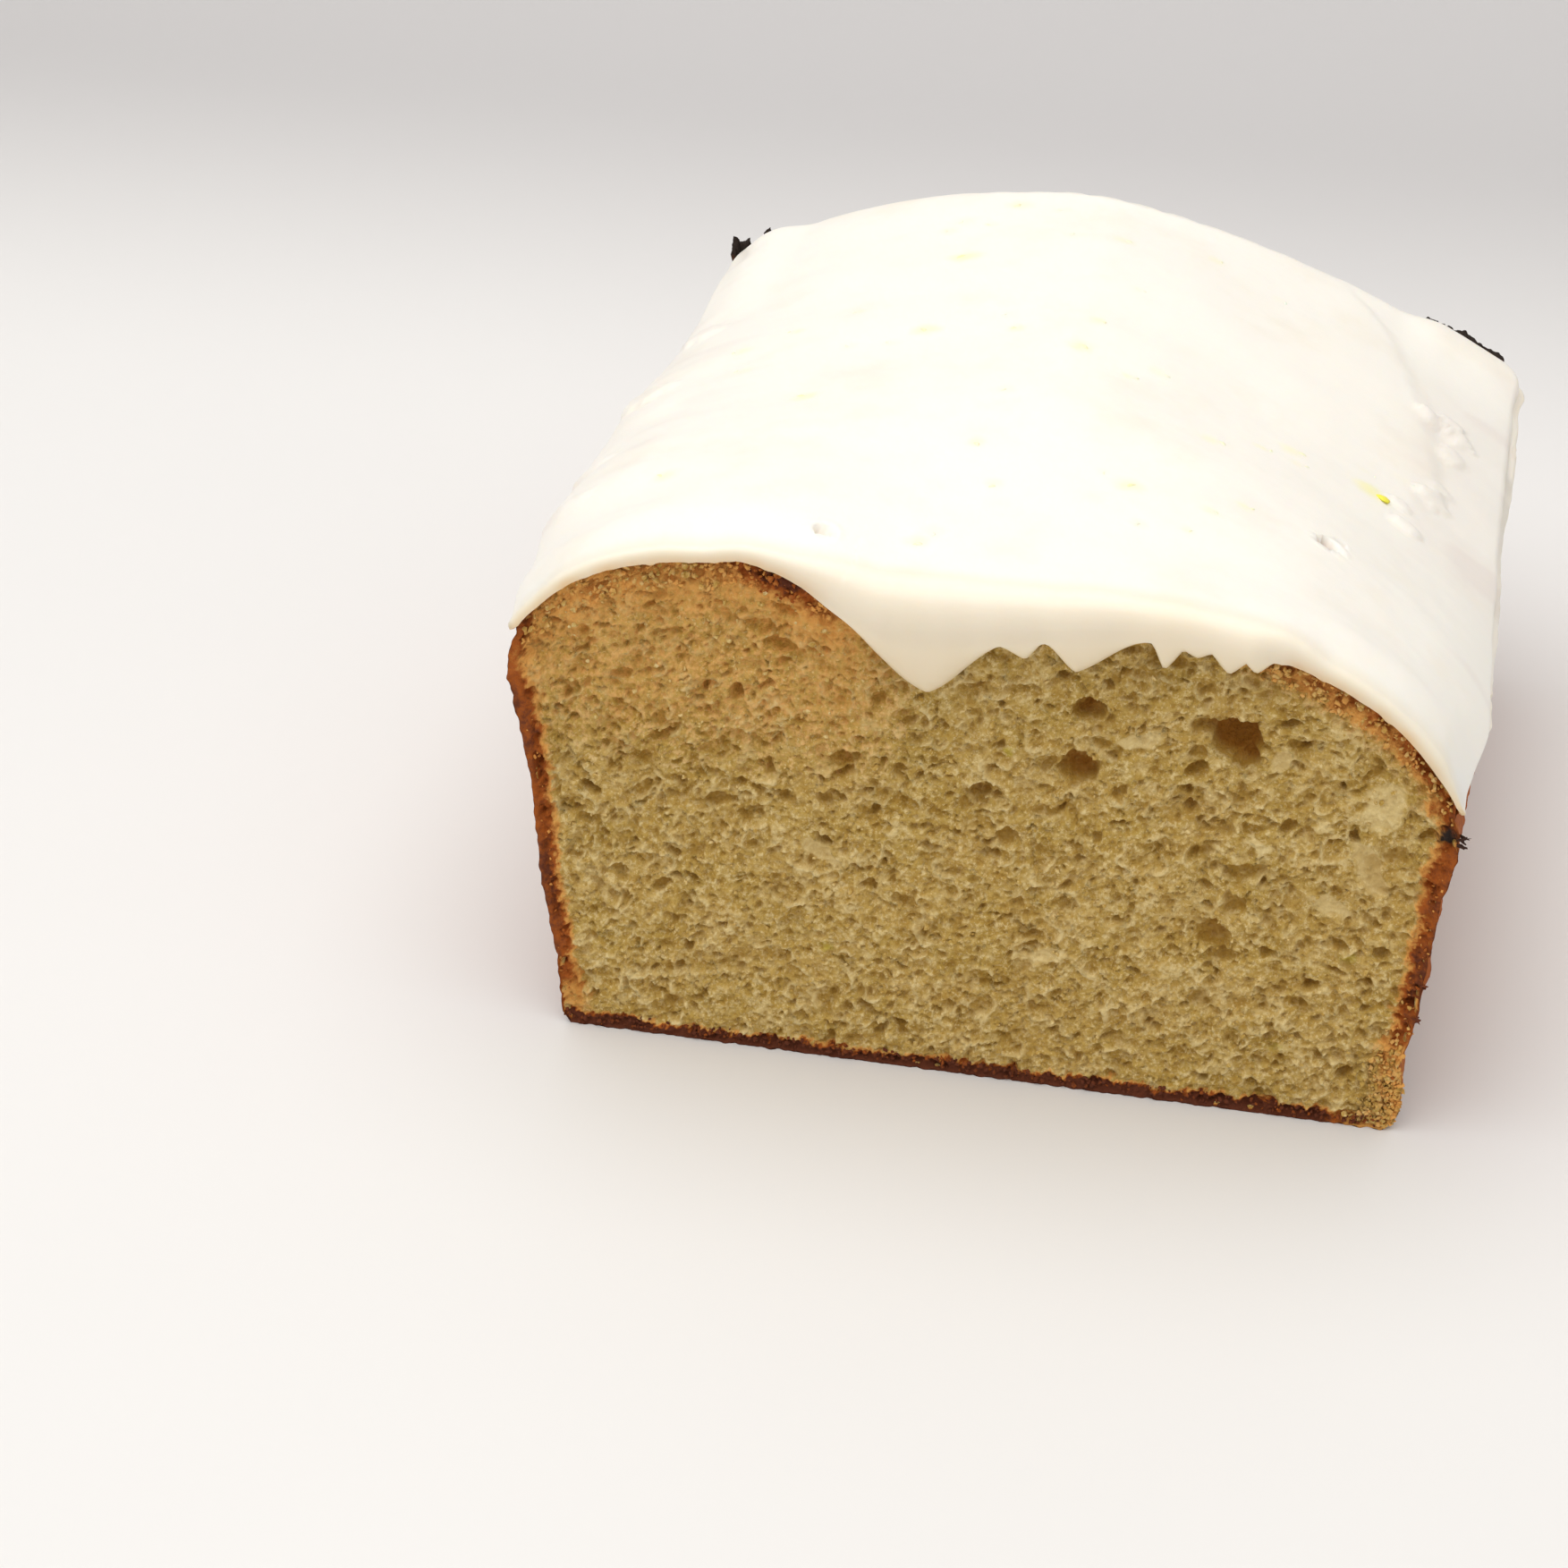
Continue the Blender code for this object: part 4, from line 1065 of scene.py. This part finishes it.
def drop_and_depth(columns, settings):
    """How far the icing runs down from the edge in each column, and how thick the run is."""
    x, y = columns.x, columns.y
    hem_from, hem_to, hem = HEM
    places = on_plan(x, y)
    teeth = 0.5 + 0.5 * uneven(places, 0.0024, 77.0)
    in_hem = ease((x - hem_from) / 0.003) * ease((hem_to - x) / 0.003)
    torn = np.clip(uneven(places, 0.0017, 57.0), -0.4, 0.8)
    drop = LEAST_DROP + 0.0006 * torn * ease((0.0605 - np.abs(x)) / 0.004) + in_hem * hem * teeth
    depth = np.full_like(x, LIP_DEPTH)
    for middle, length, left, right, proud in DRIPS:
        reach = np.where(x < middle, left, right)
        near = np.clip(1.0 - np.abs(x - middle) / reach, 0.0, 1.0)
        drop = np.maximum(drop, length * mix(near, ease(near), 0.5))
        nearby = fade(np.abs(x - middle) / (reach * DRIP_SPREAD))
        depth = depth + (proud - LIP_DEPTH) * nearby * (proud > LIP_DEPTH)
    drop = np.maximum(drop, 0.5 * LEAST_DROP)
    walked = columns.walked
    wave = np.ones_like(walked)
    for size, share, turn in RUN_WAVES:
        wave += share * np.sin(2.0 * math.pi * walked / size + turn)
    wave += 0.25 * uneven(places, 0.0060, 91.0)
    end = ease((y - 0.120) / 0.018)
    run = mix(np.where(x < 0.0, RUN_LEFT, RUN_RIGHT), RUN_END, end) * wave
    at_flakes = ease((np.abs(columns.across) - 0.60) / 0.15) * ease((y - 0.104) / 0.022)
    run = mix(np.maximum(run, LEAST_DROP), 0.0012, at_flakes)
    starts = np.where(x < 0.0, ease(y / RUN_STARTS), ease((y - 0.011) / 0.045))
    run = mix(LEAST_DROP, run, starts)
    hang = np.full_like(x, 1.0)
    hang = hang * mix(0.24, 1.0, ease((x + 0.025) / 0.010)) * mix(0.20, 1.0, ease((0.0405 - x) / 0.007))
    soft = uneven(places, 0.0075, 83.0) + 0.5 * uneven(places, 0.0030, 87.0)
    front_depth = depth * hang * (1.0 + 0.16 * soft)
    return np.where(columns.front, drop, run), np.where(columns.front, front_depth, settings.side)


COAT_MARKS = ("cover_and_shade", "bare", "thin", "stain")
ICING_RINGS = 80
INNER_RINGS = 10
LIP_ROWS = 7
SKIRT_ROWS = 14


def make_icing(settings):
    """The coat of icing: thick over the dome, rolled over the cut and run down the sides."""
    columns = Columns(260, 150, 130)
    drop, skirt_depth = drop_and_depth(columns, settings)
    facing = columns.out.copy()
    facing[columns.front, 1] -= 1.0
    facing /= np.linalg.norm(facing, axis=-1, keepdims=True)
    blocks = []
    marks = {name: [] for name in COAT_MARKS}

    def add_row(row, *values):
        blocks.append(row)
        for name, value in zip(COAT_MARKS, values):
            marks[name].append(np.broadcast_to(value, len(row)))

    top = columns.ring(0.0)[:1]
    shares = outward_shares(ICING_RINGS, 1.35)
    coat, cover_and_shade, bare = icing_coat(top, settings)
    add_row(top + np.array([[0.0, 0.0, 1.0]]) * (GAP + coat[:, None]), cover_and_shade, bare, 0.0, 0.0)
    for share in shares:
        row = columns.ring(share)
        normal = crust_normal(row[:, 0], np.maximum(row[:, 1], 0.0004))
        coat, cover_and_shade, bare = icing_coat(row, settings)
        # Cream on the front rows, where the top rolls over the cut: partly thin icing, partly painted shade
        thin = 0.35 * ease(1.0 - row[:, 1] / 0.0035) * ease((0.065 - row[:, 1]) / 0.01)
        add_row(row + normal * (GAP + coat)[:, None], cover_and_shade, bare, thin, 0.0)
    edge, edge_coat, edge_normal = row, coat, normal
    along, left_depth, right_depth = np.array(SIDE_DEPTHS).T
    share_left = np.interp(columns.y, along, left_depth)
    side_share = np.where(columns.x < 0.0, share_left, np.interp(columns.y, along, right_depth))
    at_end = ease((columns.along * LENGTH - (LENGTH - END_ROUNDING)) / END_ROUNDING * 3.0)
    side_share = mix(side_share, 0.9, at_end)
    sideways = np.where(columns.front, skirt_depth, settings.side * side_share)
    ripple = 1.0 + 0.22 * uneven(on_plan(columns.walked, 0.0 * columns.walked), 0.0055, 3.0)
    sideways = sideways * np.where(columns.front, 1.0, ripple)
    on_arc = arc_share(columns.x, 0.004) * columns.front
    patch = 0.62 + 0.55 * uneven(on_plan(columns.x, columns.y), 0.0028, 29.0)
    stained = on_arc * np.clip(patch, 0.0, 1.0)
    opening = np.arccos(np.clip((edge_normal * facing).sum(-1), -0.999, 0.999))
    for step in range(1, LIP_ROWS + 1):
        share = step / LIP_ROWS
        upward, outward = np.sin((1.0 - share) * opening)[:, None], np.sin(share * opening)[:, None]
        toward = (upward * edge_normal + outward * facing) / np.sin(opening)[:, None]
        depth = mix(GAP + edge_coat, SKIRT_GAP + sideways, ease(share))
        # The lip creams towards the cut face and down the sides: partly thin icing, partly painted shade on
        # its down-turned face
        thin = np.where(columns.front, 0.35 + 0.35 * share, 0.2 * share)
        stain = stained * ease((share - 0.20) / 0.80) * 0.75
        add_row(edge + toward * depth[:, None], cover_and_shade, 0.0, thin, stain)
    to_rim = np.where(columns.front, drop / 4.0, columns.edge_z - columns.rim_z)
    for step in range(1, SKIRT_ROWS + 1):
        share = math.sin(0.5 * math.pi * step / SKIRT_ROWS)
        row = columns.at_height(columns.edge_z - np.maximum(drop, 0.0) * share)
        fullness = max(1.0 - share**3.2, 0.0) ** (1.0 / 2.6)
        beads = mix(1.0, 1.25, np.where(columns.front, 0.0, ease((share - 0.4) / 0.4)))
        # The drips and runs are cream all the way down: partly thin icing, partly painted shade
        thin = np.where(columns.front, 0.70 + 0.30 * share, 0.2 + 0.35 * share)
        add_row(row + facing * (SKIRT_GAP + sideways * fullness * beads)[:, None], cover_and_shade, 0.0, thin, stained)
    outer_rows = ICING_RINGS + LIP_ROWS + SKIRT_ROWS
    count = columns.count
    inner = [top + np.array([[0.0, 0.0, GAP]])]
    for share in outward_shares(INNER_RINGS, 1.8):
        row = columns.ring(share)
        normal = crust_normal(row[:, 0], np.maximum(row[:, 1], 0.0004))
        inner.append(row + normal * GAP)
    first = np.minimum(to_rim, drop / 2.0)
    for step in range(1, 5):
        down = mix(first, drop, (step - 1) / 3.0)
        inner.append(columns.at_height(columns.edge_z - down) + facing * (SKIRT_GAP * 0.9))
    inner_rows = len(inner) - 1
    points = np.concatenate(blocks + inner)
    start = 1 + outer_rows * count
    ring = np.arange(count)
    inside = [fan_faces(start, start + 1 + ring), grid_faces(start + 1, inner_rows, count, closed=True)]
    last_outer = 1 + (outer_rows - 1) * count + ring
    last_inner = start + 1 + (inner_rows - 1) * count + ring
    faces = [fan_faces(0, 1 + ring), grid_faces(1, outer_rows, count, closed=True)]
    faces += [block[:, ::-1] for block in inside]
    faces = np.concatenate(faces + [band_faces(last_outer, last_inner)])
    extra = len(points) - start
    dome = 1 + ICING_RINGS * count
    glow = np.concatenate([glow_of_zest(points[:dome], zest_places(settings)), np.zeros(len(points) - dome)])
    whole = {"glow": glow}
    for name, parts in marks.items():
        whole[name] = np.concatenate(parts + [np.full(extra, float(name == "cover_and_shade"))])
    return new_piece("icing_coat", points, faces, icing_material(settings), "icing", whole)


# A sliver's section, as shares of its half width and heights, and the triangles that close its end
ZEST_SECTION = ((-1.0, -0.00010), (-0.5, 0.00012), (0.5, 0.00012), (1.0, -0.00010), (0.0, -0.00035))
ZEST_END = np.array([[0, 1, 2], [0, 2, 3], [0, 3, 4]])


def make_zest(settings):
    """Curled slivers of lemon zest, sunk in the icing until they barely show."""
    chance = np.random.default_rng(6)
    flecks = zest_places(settings)
    points, faces, strengths = [], [], []
    for number, (x, y, length, strength) in enumerate(flecks):
        place = np.array([[x, y, float(crust_height(np.array(x), np.array(y)))]])
        normal = crust_normal(place[:, 0], place[:, 1])[0]
        coat = float(icing_coat(place, settings)[0][0])
        turn = chance.uniform(0.0, 2.0 * math.pi)
        side = np.cross(normal, [math.cos(turn), math.sin(turn), 0.0])
        side /= np.linalg.norm(side)
        forward = np.cross(side, normal)
        bold = float(ease((strength - 0.5) / 0.4))
        middle = place[0] + normal * (GAP + coat + 0.00025 * bold)
        width = length * mix(chance.uniform(0.30, 0.6), 0.85, bold)
        stations = 7
        for station in range(stations):
            t = station / (stations - 1.0) * 2.0 - 1.0
            half = width * 0.5 * max(1.0 - abs(t) ** 2.4, 0.04) * chance.uniform(0.8, 1.2)
            bend = 0.16 * length * (1.0 - t * t)
            spine = middle + forward * (0.5 * length * t) + side * bend - normal * 0.00022 * t * t
            for across, lift in ZEST_SECTION:
                points.append(spine + side * half * across + normal * lift)
                strengths.append(strength)
        start = number * stations * 5
        faces.append(grid_faces(start, stations, 5, closed=True))
        last = start + (stations - 1) * 5
        faces += [start + ZEST_END, last + ZEST_END[:, ::-1]]
    return new_piece("zest", points, np.concatenate(faces), zest_material(settings), "icing",
                     {"strength": strengths})


# Materials

class Graph:
    """A node tree that grows by named nodes and links."""

    def __init__(self, tree):
        self.tree = tree

    def node(self, kind, **settings):
        made = self.tree.nodes.new(kind)
        for key, value in settings.items():
            setattr(made, key, value)
        return made

    def link(self, source, target):
        self.tree.links.new(source, target)

    def put(self, socket, value):
        if isinstance(value, bpy.types.NodeSocket):
            self.link(value, socket)
        else:
            socket.default_value = value

    def noise(self, coordinates, scale, detail=3.0, roughness=0.6):
        made = self.node("ShaderNodeTexNoise")
        self.link(coordinates, made.inputs["Vector"])
        made.inputs["Scale"].default_value = scale
        made.inputs["Detail"].default_value = detail
        made.inputs["Roughness"].default_value = roughness
        return made.outputs["Fac"]

    def math(self, operation, a, b=0.0, clamp=False):
        made = self.node("ShaderNodeMath", operation=operation, use_clamp=clamp)
        self.put(made.inputs[0], a)
        self.put(made.inputs[1], b)
        return made.outputs[0]

    def span(self, value, low, high, to_low=0.0, to_high=1.0):
        made = self.node("ShaderNodeMapRange", interpolation_type="SMOOTHSTEP")
        self.put(made.inputs["Value"], value)
        made.inputs["From Min"].default_value = low
        made.inputs["From Max"].default_value = high
        made.inputs["To Min"].default_value = to_low
        made.inputs["To Max"].default_value = to_high
        return made.outputs["Result"]

    def blend(self, share, first, second):
        made = self.node("ShaderNodeMix", data_type="RGBA")
        self.put(made.inputs[0], share)
        self.put(made.inputs[6], first)
        self.put(made.inputs[7], second)
        return made.outputs[2]

    def mark(self, name):
        return self.node("ShaderNodeAttribute", attribute_name=name).outputs["Fac"]

    def bump(self, height, strength, distance, shader):
        made = self.node("ShaderNodeBump")
        made.inputs["Strength"].default_value = strength
        made.inputs["Distance"].default_value = distance
        self.link(height, made.inputs["Height"])
        self.link(made.outputs["Normal"], shader.inputs["Normal"])


NUMBER = "NodeSocketFloat"
COLOUR = "NodeSocketColor"


def rgba(colour):
    return (*colour, 1.0)


def new_material(name):
    """A material, its graph and its shader."""
    material = bpy.data.materials.new(name)
    material.use_nodes = True
    return material, Graph(material.node_tree), material.node_tree.nodes["Principled BSDF"]


def new_group(name, inputs):
    """A node group that gives a colour and a height, with these inputs: (name, kind, default)."""
    group = bpy.data.node_groups.new(name, "ShaderNodeTree")
    for socket, kind, default in inputs:
        made = group.interface.new_socket(socket, in_out="INPUT", socket_type=kind)
        made.default_value = default
    for socket, kind in (("Color", COLOUR), ("Height", NUMBER)):
        group.interface.new_socket(socket, in_out="OUTPUT", socket_type=kind)
    graph = Graph(group)
    return group, graph, graph.node("NodeGroupInput"), graph.node("NodeGroupOutput")


def sponge_tones(settings):
    """Colour of crumb and crust from how baked, deep, smeared, burnt or zesty a place is, with painted shade
    where it lies deep and a painted highlight where it stands proud.
    """
    name = "sponge_tones"
    if name in bpy.data.node_groups:
        return bpy.data.node_groups[name]
    group, graph, given, result = new_group(name, [(mark.title(), NUMBER, 0.0) for mark in SPONGE_MARKS])
    place = graph.node("ShaderNodeTexCoord").outputs["Object"]
    broad = graph.noise(place, 90.0, 3.0)
    patch = graph.noise(place, 380.0, 2.0, 0.5)
    grain = graph.noise(place, 900.0, 4.0, 0.7)
    speck = graph.noise(place, 2300.0, 2.0, 0.6)
    crumb = graph.blend(graph.span(broad, 0.35, 0.68), rgba(settings.crumb_colour),
                        rgba([share * c for share, c in zip((0.90, 0.89, 0.72), settings.crumb_colour)]))
    pore, smear_and_highlight = rgba(settings.pore_shade_colour), rgba(settings.smear_and_highlight_colour)
    mottling = (
        (patch, (0.30, 0.48, 0.45, 0.0), pore),
        (patch, (0.52, 0.70, 0.0, 0.35), smear_and_highlight),
        (grain, (0.50, 0.66, 0.0, 0.75), smear_and_highlight),
        (grain, (0.32, 0.46, 0.50, 0.0), pore),
        (speck, (0.56, 0.70, 0.0, 0.50), pore),
        (speck, (0.32, 0.44, 0.60, 0.0), smear_and_highlight),
    )
    for pattern, spread, colour in mottling:
        crumb = graph.blend(graph.span(pattern, *spread), crumb, colour)
    pale = graph.math("MULTIPLY", given.outputs["Pale"], 0.60)
    crumb = graph.blend(pale, crumb, smear_and_highlight)
    # Painted shade in pores and hollows, darker the deeper they lie, and a painted highlight on grains that
    # stand proud of the cut
    deep = rgba([c * share for c, share in zip(settings.pore_shade_colour, (0.72, 0.48, 0.20))])
    depths = (((-0.45, -0.05, 0.45, 0.0), smear_and_highlight), ((0.1, 1.6, 0.0, 0.75), pore), ((1.4, 3.2, 0.0, 0.9), deep))
    for spread, colour in depths:
        crumb = graph.blend(graph.span(given.outputs["Pit"], *spread), crumb, colour)
    zesty = graph.math("MULTIPLY", given.outputs["Zest"], 0.55)
    crumb = graph.blend(zesty, crumb, rgba(settings.zest_colour))
    wander = graph.math("MULTIPLY", graph.math("SUBTRACT", grain, 0.5), 0.85)
    baked = graph.math("ADD", given.outputs["Bake"], wander)
    baked = graph.math("MULTIPLY", baked, graph.span(given.outputs["Bake"], 0.0, 0.12))
    tone = graph.blend(graph.span(baked, 0.05, 0.50), crumb, rgba(settings.golden_colour))
    tone = graph.blend(graph.span(baked, 0.45, 0.95), tone, rgba(settings.baked_colour))
    tone = graph.blend(graph.span(baked, 0.92, 1.35), tone, rgba(settings.dark_colour))
    tone = graph.blend(given.outputs["Burnt"], tone, rgba(settings.burnt_colour))
    graph.link(tone, result.inputs["Color"])
    height = graph.math("ADD", graph.math("MULTIPLY", grain, 0.7), graph.math("MULTIPLY", speck, 0.3))
    graph.link(height, result.inputs["Height"])
    return group


def sponge_material(name, settings, roughening):
    """Matt crumb or crust. The marks on the mesh say how baked each place is."""
    material, graph, shader = new_material(name)
    tones = graph.node("ShaderNodeGroup", node_tree=sponge_tones(settings))
    for mark in SPONGE_MARKS:
        graph.link(graph.mark(mark), tones.inputs[mark.title()])
    graph.link(tones.outputs["Color"], shader.inputs["Base Color"])
    rough = graph.span(tones.outputs["Height"], 0.3, 0.7, 0.92, 0.72)
    graph.link(rough, shader.inputs["Roughness"])
    graph.bump(tones.outputs["Height"], roughening, 0.0007, shader)
    shader.inputs["Specular IOR Level"].default_value = 0.28
    shader.inputs["Subsurface Weight"].default_value = 0.0
    return material


def sugar_tones():
    """Soft clouding and fine grain of set sugar."""
    name = "sugar_tones"
    if name in bpy.data.node_groups:
        return bpy.data.node_groups[name]
    inputs = [("Colour", COLOUR, (0.9, 0.9, 0.9, 1.0)), ("Shade", COLOUR, (0.8, 0.8, 0.8, 1.0))]
    group, graph, given, result = new_group(name, inputs)
    place = graph.node("ShaderNodeTexCoord").outputs["Object"]
    cloud = graph.noise(place, 70.0, 4.0, 0.55)
    fine = graph.noise(place, 700.0, 3.0, 0.6)
    share = graph.span(cloud, 0.48, 0.75, 0.0, 0.16)
    graph.link(graph.blend(share, given.outputs["Colour"], given.outputs["Shade"]), result.inputs["Color"])
    height = graph.math("ADD", graph.math("MULTIPLY", cloud, 0.8), graph.math("MULTIPLY", fine, 0.2))
    graph.link(height, result.inputs["Height"])
    return group


def sugar_node(graph, settings):
    sugar = graph.node("ShaderNodeGroup", node_tree=sugar_tones())
    sugar.inputs["Colour"].default_value = rgba(settings.icing_colour)
    sugar.inputs["Shade"].default_value = rgba(settings.thin_and_shade_colour)
    return sugar


def icing_material(settings):
    """Set sugar icing: nearly white where thick, creamier where thin, with the crust in its pits. Its cream
    lip, drips and runs and its grey side streaks are partly painted shade, and its grey right shoulder is
    painted shade.
    """
    material, graph, shader = new_material("set_icing")
    sugar = sugar_node(graph, settings)
    # Less cover greys the icing towards the streak colour: partly thin icing, partly painted shade
    uncovered_and_shaded = graph.math("SUBTRACT", 1.0, graph.mark("cover_and_shade"))
    colour = graph.blend(graph.math("MULTIPLY", uncovered_and_shaded, 0.8, clamp=True), sugar.outputs["Color"],
                         rgba(settings.streak_and_shade_colour))
    # Cream where the thin mark is set: partly thin icing, partly painted shade on the lip, drips and runs
    colour = graph.blend(graph.math("MULTIPLY", graph.mark("thin"), 0.85), colour, rgba(settings.thin_and_shade_colour))
    colour = graph.blend(graph.math("MULTIPLY", graph.mark("glow"), 0.75), colour, rgba(settings.glow_colour))
    colour = graph.blend(graph.mark("stain"), colour, rgba(settings.stain_colour))
    colour = graph.blend(graph.mark("bare"), colour, rgba(settings.bare_colour))
    graph.link(colour, shader.inputs["Base Color"])
    graph.link(graph.span(sugar.outputs["Height"], 0.3, 0.7, 0.40, 0.30), shader.inputs["Roughness"])
    graph.bump(sugar.outputs["Height"], 0.35, 0.0004, shader)
    shader.inputs["Subsurface Weight"].default_value = 0.35
    shader.inputs["Subsurface Radius"].default_value = (1.0, 0.8, 0.55)
    shader.inputs["Subsurface Scale"].default_value = 0.0025
    shader.inputs["Specular IOR Level"].default_value = 0.45
    shader.inputs["Coat Weight"].default_value = 0.12
    shader.inputs["Coat Roughness"].default_value = 0.22
    return material


def zest_material(settings):
    """Lemon zest veiled by the icing that it lies in."""
    material, graph, shader = new_material("lemon_zest")
    sugar = sugar_node(graph, settings)
    colour = graph.blend(graph.mark("strength"), sugar.outputs["Color"], rgba(settings.zest_colour))
    graph.link(colour, shader.inputs["Base Color"])
    graph.link(graph.span(sugar.outputs["Height"], 0.3, 0.7, 0.5, 0.38), shader.inputs["Roughness"])
    shader.inputs["Subsurface Weight"].default_value = 0.3
    shader.inputs["Subsurface Scale"].default_value = 0.001
    return material


# The stage

FILL_COLOUR = (1.0, 0.985, 0.965)
LIGHT_PLACE = (-0.12, -0.09, 0.88)
LIGHT_AIM = (0.0, 0.0, 0.04)
LIGHT_SIZE = 1.25
BACKDROP_BEGINS = 0.30
BACKDROP_BEND = 0.25
BACKDROP_TOP = 1.2
# Where the floor's painted shade begins and where it is full, along Y
FAR_BEGINS = 0.12
FAR_ENDS = 0.33


def make_floor(settings):
    """A pale floor that bends up into a backdrop behind the cake, greyed towards the back by painted shade
    where the light falls off.
    """
    profile = [(-2.0, 0.0), (BACKDROP_BEGINS, 0.0)]
    for step in range(1, 25):
        angle = 0.5 * math.pi * step / 24.0
        out, up = BACKDROP_BEND * math.sin(angle), BACKDROP_BEND * (1.0 - math.cos(angle))
        profile.append((BACKDROP_BEGINS + out, up))
    profile.append((BACKDROP_BEGINS + BACKDROP_BEND, BACKDROP_TOP))
    points = [(x, y, z) for y, z in profile for x in (-2.5, 2.5)]
    faces = [(2 * k, 2 * k + 1, 2 * k + 3, 2 * k + 2) for k in range(len(profile) - 1)]
    mesh = bpy.data.meshes.new("floor")
    mesh.from_pydata(points, [], faces)
    mesh.shade_smooth()
    material, graph, shader = new_material("pale_floor")
    place = graph.node("ShaderNodeTexCoord").outputs["Object"]
    shade = [0.97 * c for c in settings.floor_colour]
    tone = graph.blend(graph.noise(place, 6.0), rgba(settings.floor_colour), rgba(shade))
    apart = graph.node("ShaderNodeSeparateXYZ")
    graph.link(place, apart.inputs[0])
    # Painted shade on the floor and backdrop behind the cake, where the light falls off
    behind = graph.span(apart.outputs["Y"], FAR_BEGINS, FAR_ENDS)
    tone = graph.blend(behind, tone, rgba(settings.far_shade_colour))
    graph.link(tone, shader.inputs["Base Color"])
    shader.inputs["Roughness"].default_value = 0.55
    shader.inputs["Specular IOR Level"].default_value = 0.25
    mesh.materials.append(material)
    new_object("floor", mesh)


def make_lights(settings):
    world = bpy.data.worlds.new("studio")
    bpy.context.scene.world = world
    world.use_nodes = True
    background = world.node_tree.nodes["Background"]
    background.inputs["Color"].default_value = rgba(FILL_COLOUR)
    background.inputs["Strength"].default_value = settings.fill
    light = bpy.data.lights.new("overhead", "AREA")
    light.shape = "DISK"
    light.size = LIGHT_SIZE
    light.energy = settings.key_power
    lamp = new_object("overhead", light)
    lamp.location = LIGHT_PLACE
    lamp.rotation_mode = "QUATERNION"
    lamp.rotation_quaternion = (Vector(LIGHT_AIM) - lamp.location).to_track_quat("-Z", "Y")


def make_camera(settings):
    data = bpy.data.cameras.new("camera")
    data.lens = settings.lens
    data.sensor_width = SENSOR
    data.clip_start = 0.01
    camera = new_object("camera", data)
    camera.location = Vector(CAMERA_PLACE) + Vector(CUT_FOOT)
    camera.rotation_mode = "QUATERNION"
    camera.rotation_quaternion = Vector(CAMERA_AIM).to_track_quat("-Z", "Y")
    bpy.context.scene.camera = camera


# Operators

class LOAF_OT_crumb(Operator):
    """Builds the cut face and the crumbs that stand proud of it"""

    bl_idname = "loaf.crumb"
    bl_label = "Cut crumb"

    def execute(self, context):
        field = make_crumb(context.scene.loaf_sponge)
        make_crags(context.scene.loaf_sponge, field)
        return {"FINISHED"}


class LOAF_OT_crust(Operator):
    """Builds the baked skin and the burnt flakes at the far corners"""

    bl_idname = "loaf.crust"
    bl_label = "Baked crust"

    def execute(self, context):
        make_crust(context.scene.loaf_sponge)
        make_flakes(context.scene.loaf_sponge)
        return {"FINISHED"}


class LOAF_OT_icing(Operator):
    """Builds the coat of icing"""

    bl_idname = "loaf.icing"
    bl_label = "Icing"

    def execute(self, context):
        make_icing(context.scene.loaf_icing)
        return {"FINISHED"}


class LOAF_OT_zest(Operator):
    """Scatters lemon zest in the icing"""

    bl_idname = "loaf.zest"
    bl_label = "Zest"

    def execute(self, context):
        make_zest(context.scene.loaf_icing)
        return {"FINISHED"}


class LOAF_OT_stage(Operator):
    """Sets out the floor, the lights and the camera"""

    bl_idname = "loaf.stage"
    bl_label = "Stage"

    def execute(self, context):
        make_floor(context.scene.loaf_stage)
        make_lights(context.scene.loaf_stage)
        make_camera(context.scene.loaf_stage)
        context.scene.view_settings.view_transform = "Standard"
        return {"FINISHED"}


class LOAF_PT_panel(Panel):
    """Lists the cake's pieces"""

    bl_idname = "LOAF_PT_panel"
    bl_label = "Loaf Cake"
    bl_space_type = "VIEW_3D"
    bl_region_type = "UI"
    bl_category = "Loaf Cake"

    def draw(self, context):
        for settings in (context.scene.loaf_sponge, context.scene.loaf_icing, context.scene.loaf_stage):
            box = self.layout.box()
            for name in settings.__annotations__:
                box.prop(settings, name)
        for operator in OPERATORS:
            self.layout.operator(operator.bl_idname)


SETTINGS = {"loaf_sponge": LoafSettings, "loaf_icing": IcingSettings, "loaf_stage": StageSettings}
OPERATORS = (LOAF_OT_crumb, LOAF_OT_crust, LOAF_OT_icing, LOAF_OT_zest, LOAF_OT_stage)


def register():
    for name, settings in SETTINGS.items():
        bpy.utils.register_class(settings)
        setattr(bpy.types.Scene, name, PointerProperty(type=settings))
    for operator in OPERATORS:
        bpy.utils.register_class(operator)
    bpy.utils.register_class(LOAF_PT_panel)


def unregister():
    bpy.utils.unregister_class(LOAF_PT_panel)
    for operator in reversed(OPERATORS):
        bpy.utils.unregister_class(operator)
    for name, settings in SETTINGS.items():
        delattr(bpy.types.Scene, name)
        bpy.utils.unregister_class(settings)


def main():
    register()
    bpy.ops.loaf.crumb()
    bpy.ops.loaf.crust()
    bpy.ops.loaf.icing()
    bpy.ops.loaf.zest()
    bpy.ops.loaf.stage()


if __name__ == "__main__":
    main()
